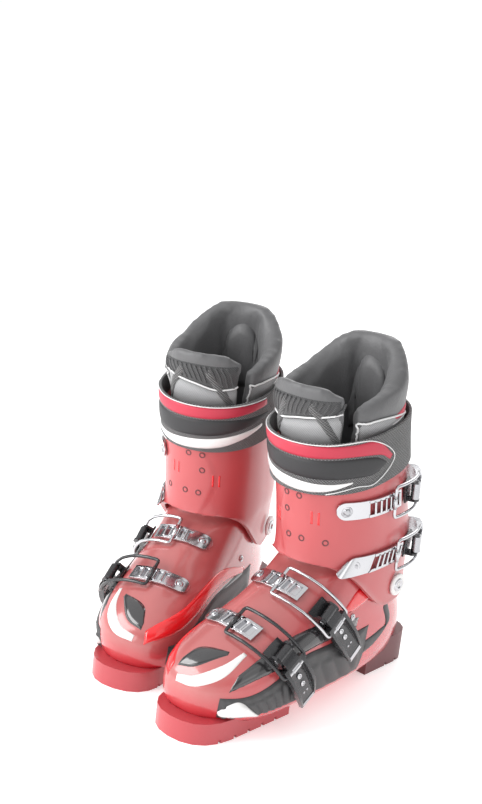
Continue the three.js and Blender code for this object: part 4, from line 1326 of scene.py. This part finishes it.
def bar(place, stations):
    """A loft through cross-sections: (arc, [(shift, height), ...]) each."""
    arc = np.array([[a] * len(section) for a, section in stations], float)
    shift = np.array([[s for s, _ in section] for _, section in stations], float)
    height = np.array([[h for _, h in section] for _, section in stations], float)
    rows, n = arc.shape
    return place(arc, height, shift).reshape(-1, 3), capped(rows, n)


def box(low_shift, high_shift, low, high):
    return [(low_shift, low), (high_shift, low), (high_shift, high), (low_shift, high)]


def rod(site, arc, height, half, radius, sides=18):
    ends = site.straight(np.array([arc, arc]), np.array([height, height]), np.array([-half, half]))
    return wire([ends[0], ends[1]], radius, sides)


print("buckle sites ready")

# %% [markdown]
# ## One buckle's pieces
# The ladder is two rails with raised rungs between them, so the shell shows through its windows, with a
# round riveted end. The lever is a channel: two side rails over a thin floor, narrowing to its tip.

# %% Ladder, bail and lever
def ladder_shape(site, start, end, hook, behind, holes):
    low, top = PLATE_SEAT, PLATE_SEAT + 2
    angles = np.linspace(0.2, math.pi / 2, 7)
    round_end = [(start + LADDER_HALF * (1 - math.cos(a)), LADDER_HALF * math.sin(a)) for a in angles]
    first_rung = hook + BAIL_WIRE / 2 + 1.2 - behind * TOOTH_PITCH
    tail = [(arc, box(-half, half, low, top)) for arc, half in round_end]
    for arc in np.linspace(start + 10, first_rung - 4, 5):
        tail.append((arc, box(-LADDER_HALF, LADDER_HALF, low, top)))
    parts = [bar(site.hugging, tail)]
    span = np.linspace(first_rung - 5, end, 14)
    for sign in (-1, 1):
        rail = [(arc, box(sign * 5.6, sign * LADDER_HALF, low, top + 0.8)) for arc in span]
        parts.append(bar(site.hugging, rail))
    for k in range(-behind, 2):
        arc = hook + BAIL_WIRE / 2 + 1.2 + k * TOOTH_PITCH
        rung = [(arc, box(-6.4, 6.4, low, top + 1.4)), (arc + 0.8, box(-6.4, 6.4, low, top + 2)),
                (arc + 2.2, box(-6.4, 6.4, low, top + 1.6))]
        parts.append(bar(site.hugging, rung))
    parts.append(bar(site.hugging, [(end - 3.4, box(-LADDER_HALF, LADDER_HALF, low, top + 0.8)),
                                    (end, box(-7.5, 7.5, low, top + 0.8))]))
    if holes:
        return together(*parts)
    floor = [(arc, box(-5.8, 5.8, low, low + 0.8)) for arc in span]
    return together(*parts, bar(site.hugging, floor))


def fitting(site, arc, height, shift, profile, sides=24):
    """A turned fitting square to the skin of the buckle's site."""
    spot = site.straight(np.array(arc), np.array(height), np.array(shift))
    out = site.straight(np.array(arc), np.array(height + 1.0), np.array(shift)) - spot
    return turned(spot, out, profile, sides)


def bail_shape(site, hook):
    side = LEVER_HALF + 0.8 + BAIL_WIRE / 2
    bar_height = PLATE_SEAT + 2 + BAIL_WIRE / 2 + BAR_GAP
    pin_height = HINGE_HEIGHT + 0.6
    arcs = np.linspace(BAIL_REACH, hook, 7)
    share = (BAIL_REACH - arcs) / (BAIL_REACH - hook)
    heights = pin_height + (bar_height - pin_height) * share ** 2
    arm = [site.straight(np.array(a), np.array(h), np.array(side)) for a, h in zip(arcs, heights)]
    other = [site.straight(np.array(a), np.array(h), np.array(-side)) for a, h in zip(arcs, heights)]
    loop = wire(arm + other[::-1], BAIL_WIRE / 2, 12, closed=True, corner=3.2)
    barrel = rod(site, hook, bar_height, 6.2, 2.1)
    return together(loop, barrel)


def lever_shape(site, pointed):
    top = LEVER_UNDERSIDE + LEVER_THICKNESS
    stations = []
    for arc in (8.5, 12, 18, 26, 34, 42, 49, LEVER_LENGTH - 2.5, LEVER_LENGTH):
        narrow = smooth(30, LEVER_LENGTH + 2, arc) * (7.0 if pointed else 2.4)
        nose = 1.6 if arc >= LEVER_LENGTH else 0
        half = LEVER_HALF - narrow - nose
        high = top - max(0, arc - 34) * 0.14
        rail = 3.4 - 1.2 * float(smooth(30, 56, arc))
        deep = LEVER_UNDERSIDE + 2.0 if 14 < arc < LEVER_LENGTH - 6 else high - 0.6
        stations.append((arc, [
            (-half, LEVER_UNDERSIDE), (half, LEVER_UNDERSIDE), (half, high), (half - rail, high),
            (half - rail - 0.5, deep), (-half + rail + 0.5, deep), (-half + rail, high), (-half, high),
        ]))
    neck_steps = [(0.5, HINGE_HEIGHT - 2.5, HINGE_HEIGHT + 2.5), (5, LEVER_UNDERSIDE + 0.5, top),
                  (9.5, LEVER_UNDERSIDE, top)]
    neck = [(arc, box(-NECK_HALF, NECK_HALF, low, high)) for arc, low, high in neck_steps]
    knuckle = rod(site, 0, HINGE_HEIGHT, NECK_HALF, 4.1)
    return together(bar(site.straight, stations), bar(site.straight, neck), knuckle)


RIVET = [(0.1, 1.5), (1.6, 1.45), (2.6, 1.1), (3.1, 0.3), (3.2, -0.6), (0.1, -0.6)]
RIVET_RING = [(4.0, 0.2), (4.4, 0.55), (4.9, 0.55), (5.3, 0.1), (5.3, -0.4), (4.0, -0.4)]
SCREW = [(0.1, 0.9), (1.0, 0.9), (1.2, 0.4), (2.0, 1.0), (2.6, 0.7), (2.8, -0.3), (0.1, -0.3)]
DOT = [(0.1, 0.3), (0.9, 0.3), (1.3, 0.1), (1.3, -0.2), (0.1, -0.2)]
BARREL = [(11.6, 2.6), (5.0, 3.2)]

# %% Build the buckles
BUCKLES = [
    ("toe", "shell", SOLE_THICKNESS + 0.57 * THROAT_RISE, 33, 60, (-82, -24), -46, 2),
    ("instep", "shell", SOLE_THICKNESS + 0.78 * THROAT_RISE, 40, 66, (-82, -24), -46, 2),
    ("ankle", "cuff", THROAT_HEIGHT - 8.5, 93, 125, (-98, -22), -37, 4),
    ("calf", "cuff", THROAT_HEIGHT + 45, 95, 123, (-98, -22), -37, 4),
]


def on_shell(turn):
    return 0 * np.asarray(turn, float)


def buckle(name, part, height, tilt, hinge_turn, span, hook, behind):
    on_cuff = part == "cuff"
    site = Site(height, tilt, hinge_turn, cuff_outer if on_cuff else on_shell)
    lever_part, bail_part = name + "_lever", name + "_bail"
    rivet_at = span[0] + 9
    top = PLATE_SEAT + 2
    rivets = together(fitting(site, rivet_at, top, 0, RIVET), fitting(site, rivet_at, top, 0, RIVET_RING))
    screws = together(*[fitting(site, arc, LEVER_UNDERSIDE + 2.0, 0, SCREW, 20) for arc in (22, 30)])
    holes = together(*[fitting(site, 41, LEVER_UNDERSIDE + 2.1, shift, DOT, 16) for shift in (-2.2, 2.2)])
    barrel = together(*[rod(site, BAIL_REACH, HINGE_HEIGHT + 0.6, half, radius) for half, radius in BARREL])
    pin = rod(site, 0, HINGE_HEIGHT, 10.8, 2.0)
    tip_low, tip_high = LEVER_UNDERSIDE - 0.3, LEVER_UNDERSIDE + LEVER_THICKNESS - 2.9
    tip_steps = zip((LEVER_LENGTH - 4, LEVER_LENGTH + 0.2), (4.6, 3.8) if on_cuff else (9.9, 8.6))
    tip = [(arc, box(-half, half, tip_low, tip_high)) for arc, half in tip_steps]
    rack = ladder_shape(site, *span, hook, behind, on_cuff)
    wire_finish = DARK_METAL if name == "toe" else CHROME
    pieces = [
        (name + "_rack", rack, CHROME, part, (name + "_ladder",), "chrome", 0.35),
        (name + "_rivet", rivets, STEEL, part, (), None, 0.0),
        (name + "_wire", bail_shape(site, hook), wire_finish, bail_part, (name + "_bail",), "chrome", 0.0),
        (name + "_handle", lever_shape(site, on_cuff), STEEL if on_cuff else DARK_METAL, lever_part,
         (name + "_lever",), "dark_metal", 0.7),
        (name + "_screws", screws, CHROME, lever_part, (), None, 0.0),
        (name + "_holes", holes, BLACK_PANEL if on_cuff else STEEL, lever_part, (), None, 0.0),
        (name + "_barrel", barrel, CHROME, bail_part, (), None, 0.3),
        (name + "_pin", pin, CHROME, part, (), None, 0.2),
        (name + "_tip", bar(site.straight, tip), CHROME, lever_part, (), None, 0.5),
    ]
    for boot in boots:
        for label, shape, material, body, nodes, slot, bevel in pieces:
            add_piece(boot, label, shape, material, body, nodes, bevel)
        cad_copy(boot, name + "_base", DARK_METAL, part, 0.5)
    return site


for row in BUCKLES:
    site = buckle(*row)
    pin_place = site.straight(np.array(0.0), np.array(HINGE_HEIGHT), np.array(0.0))
    print(row[0], "buckle hinge at", pin_place.round(1).tolist())
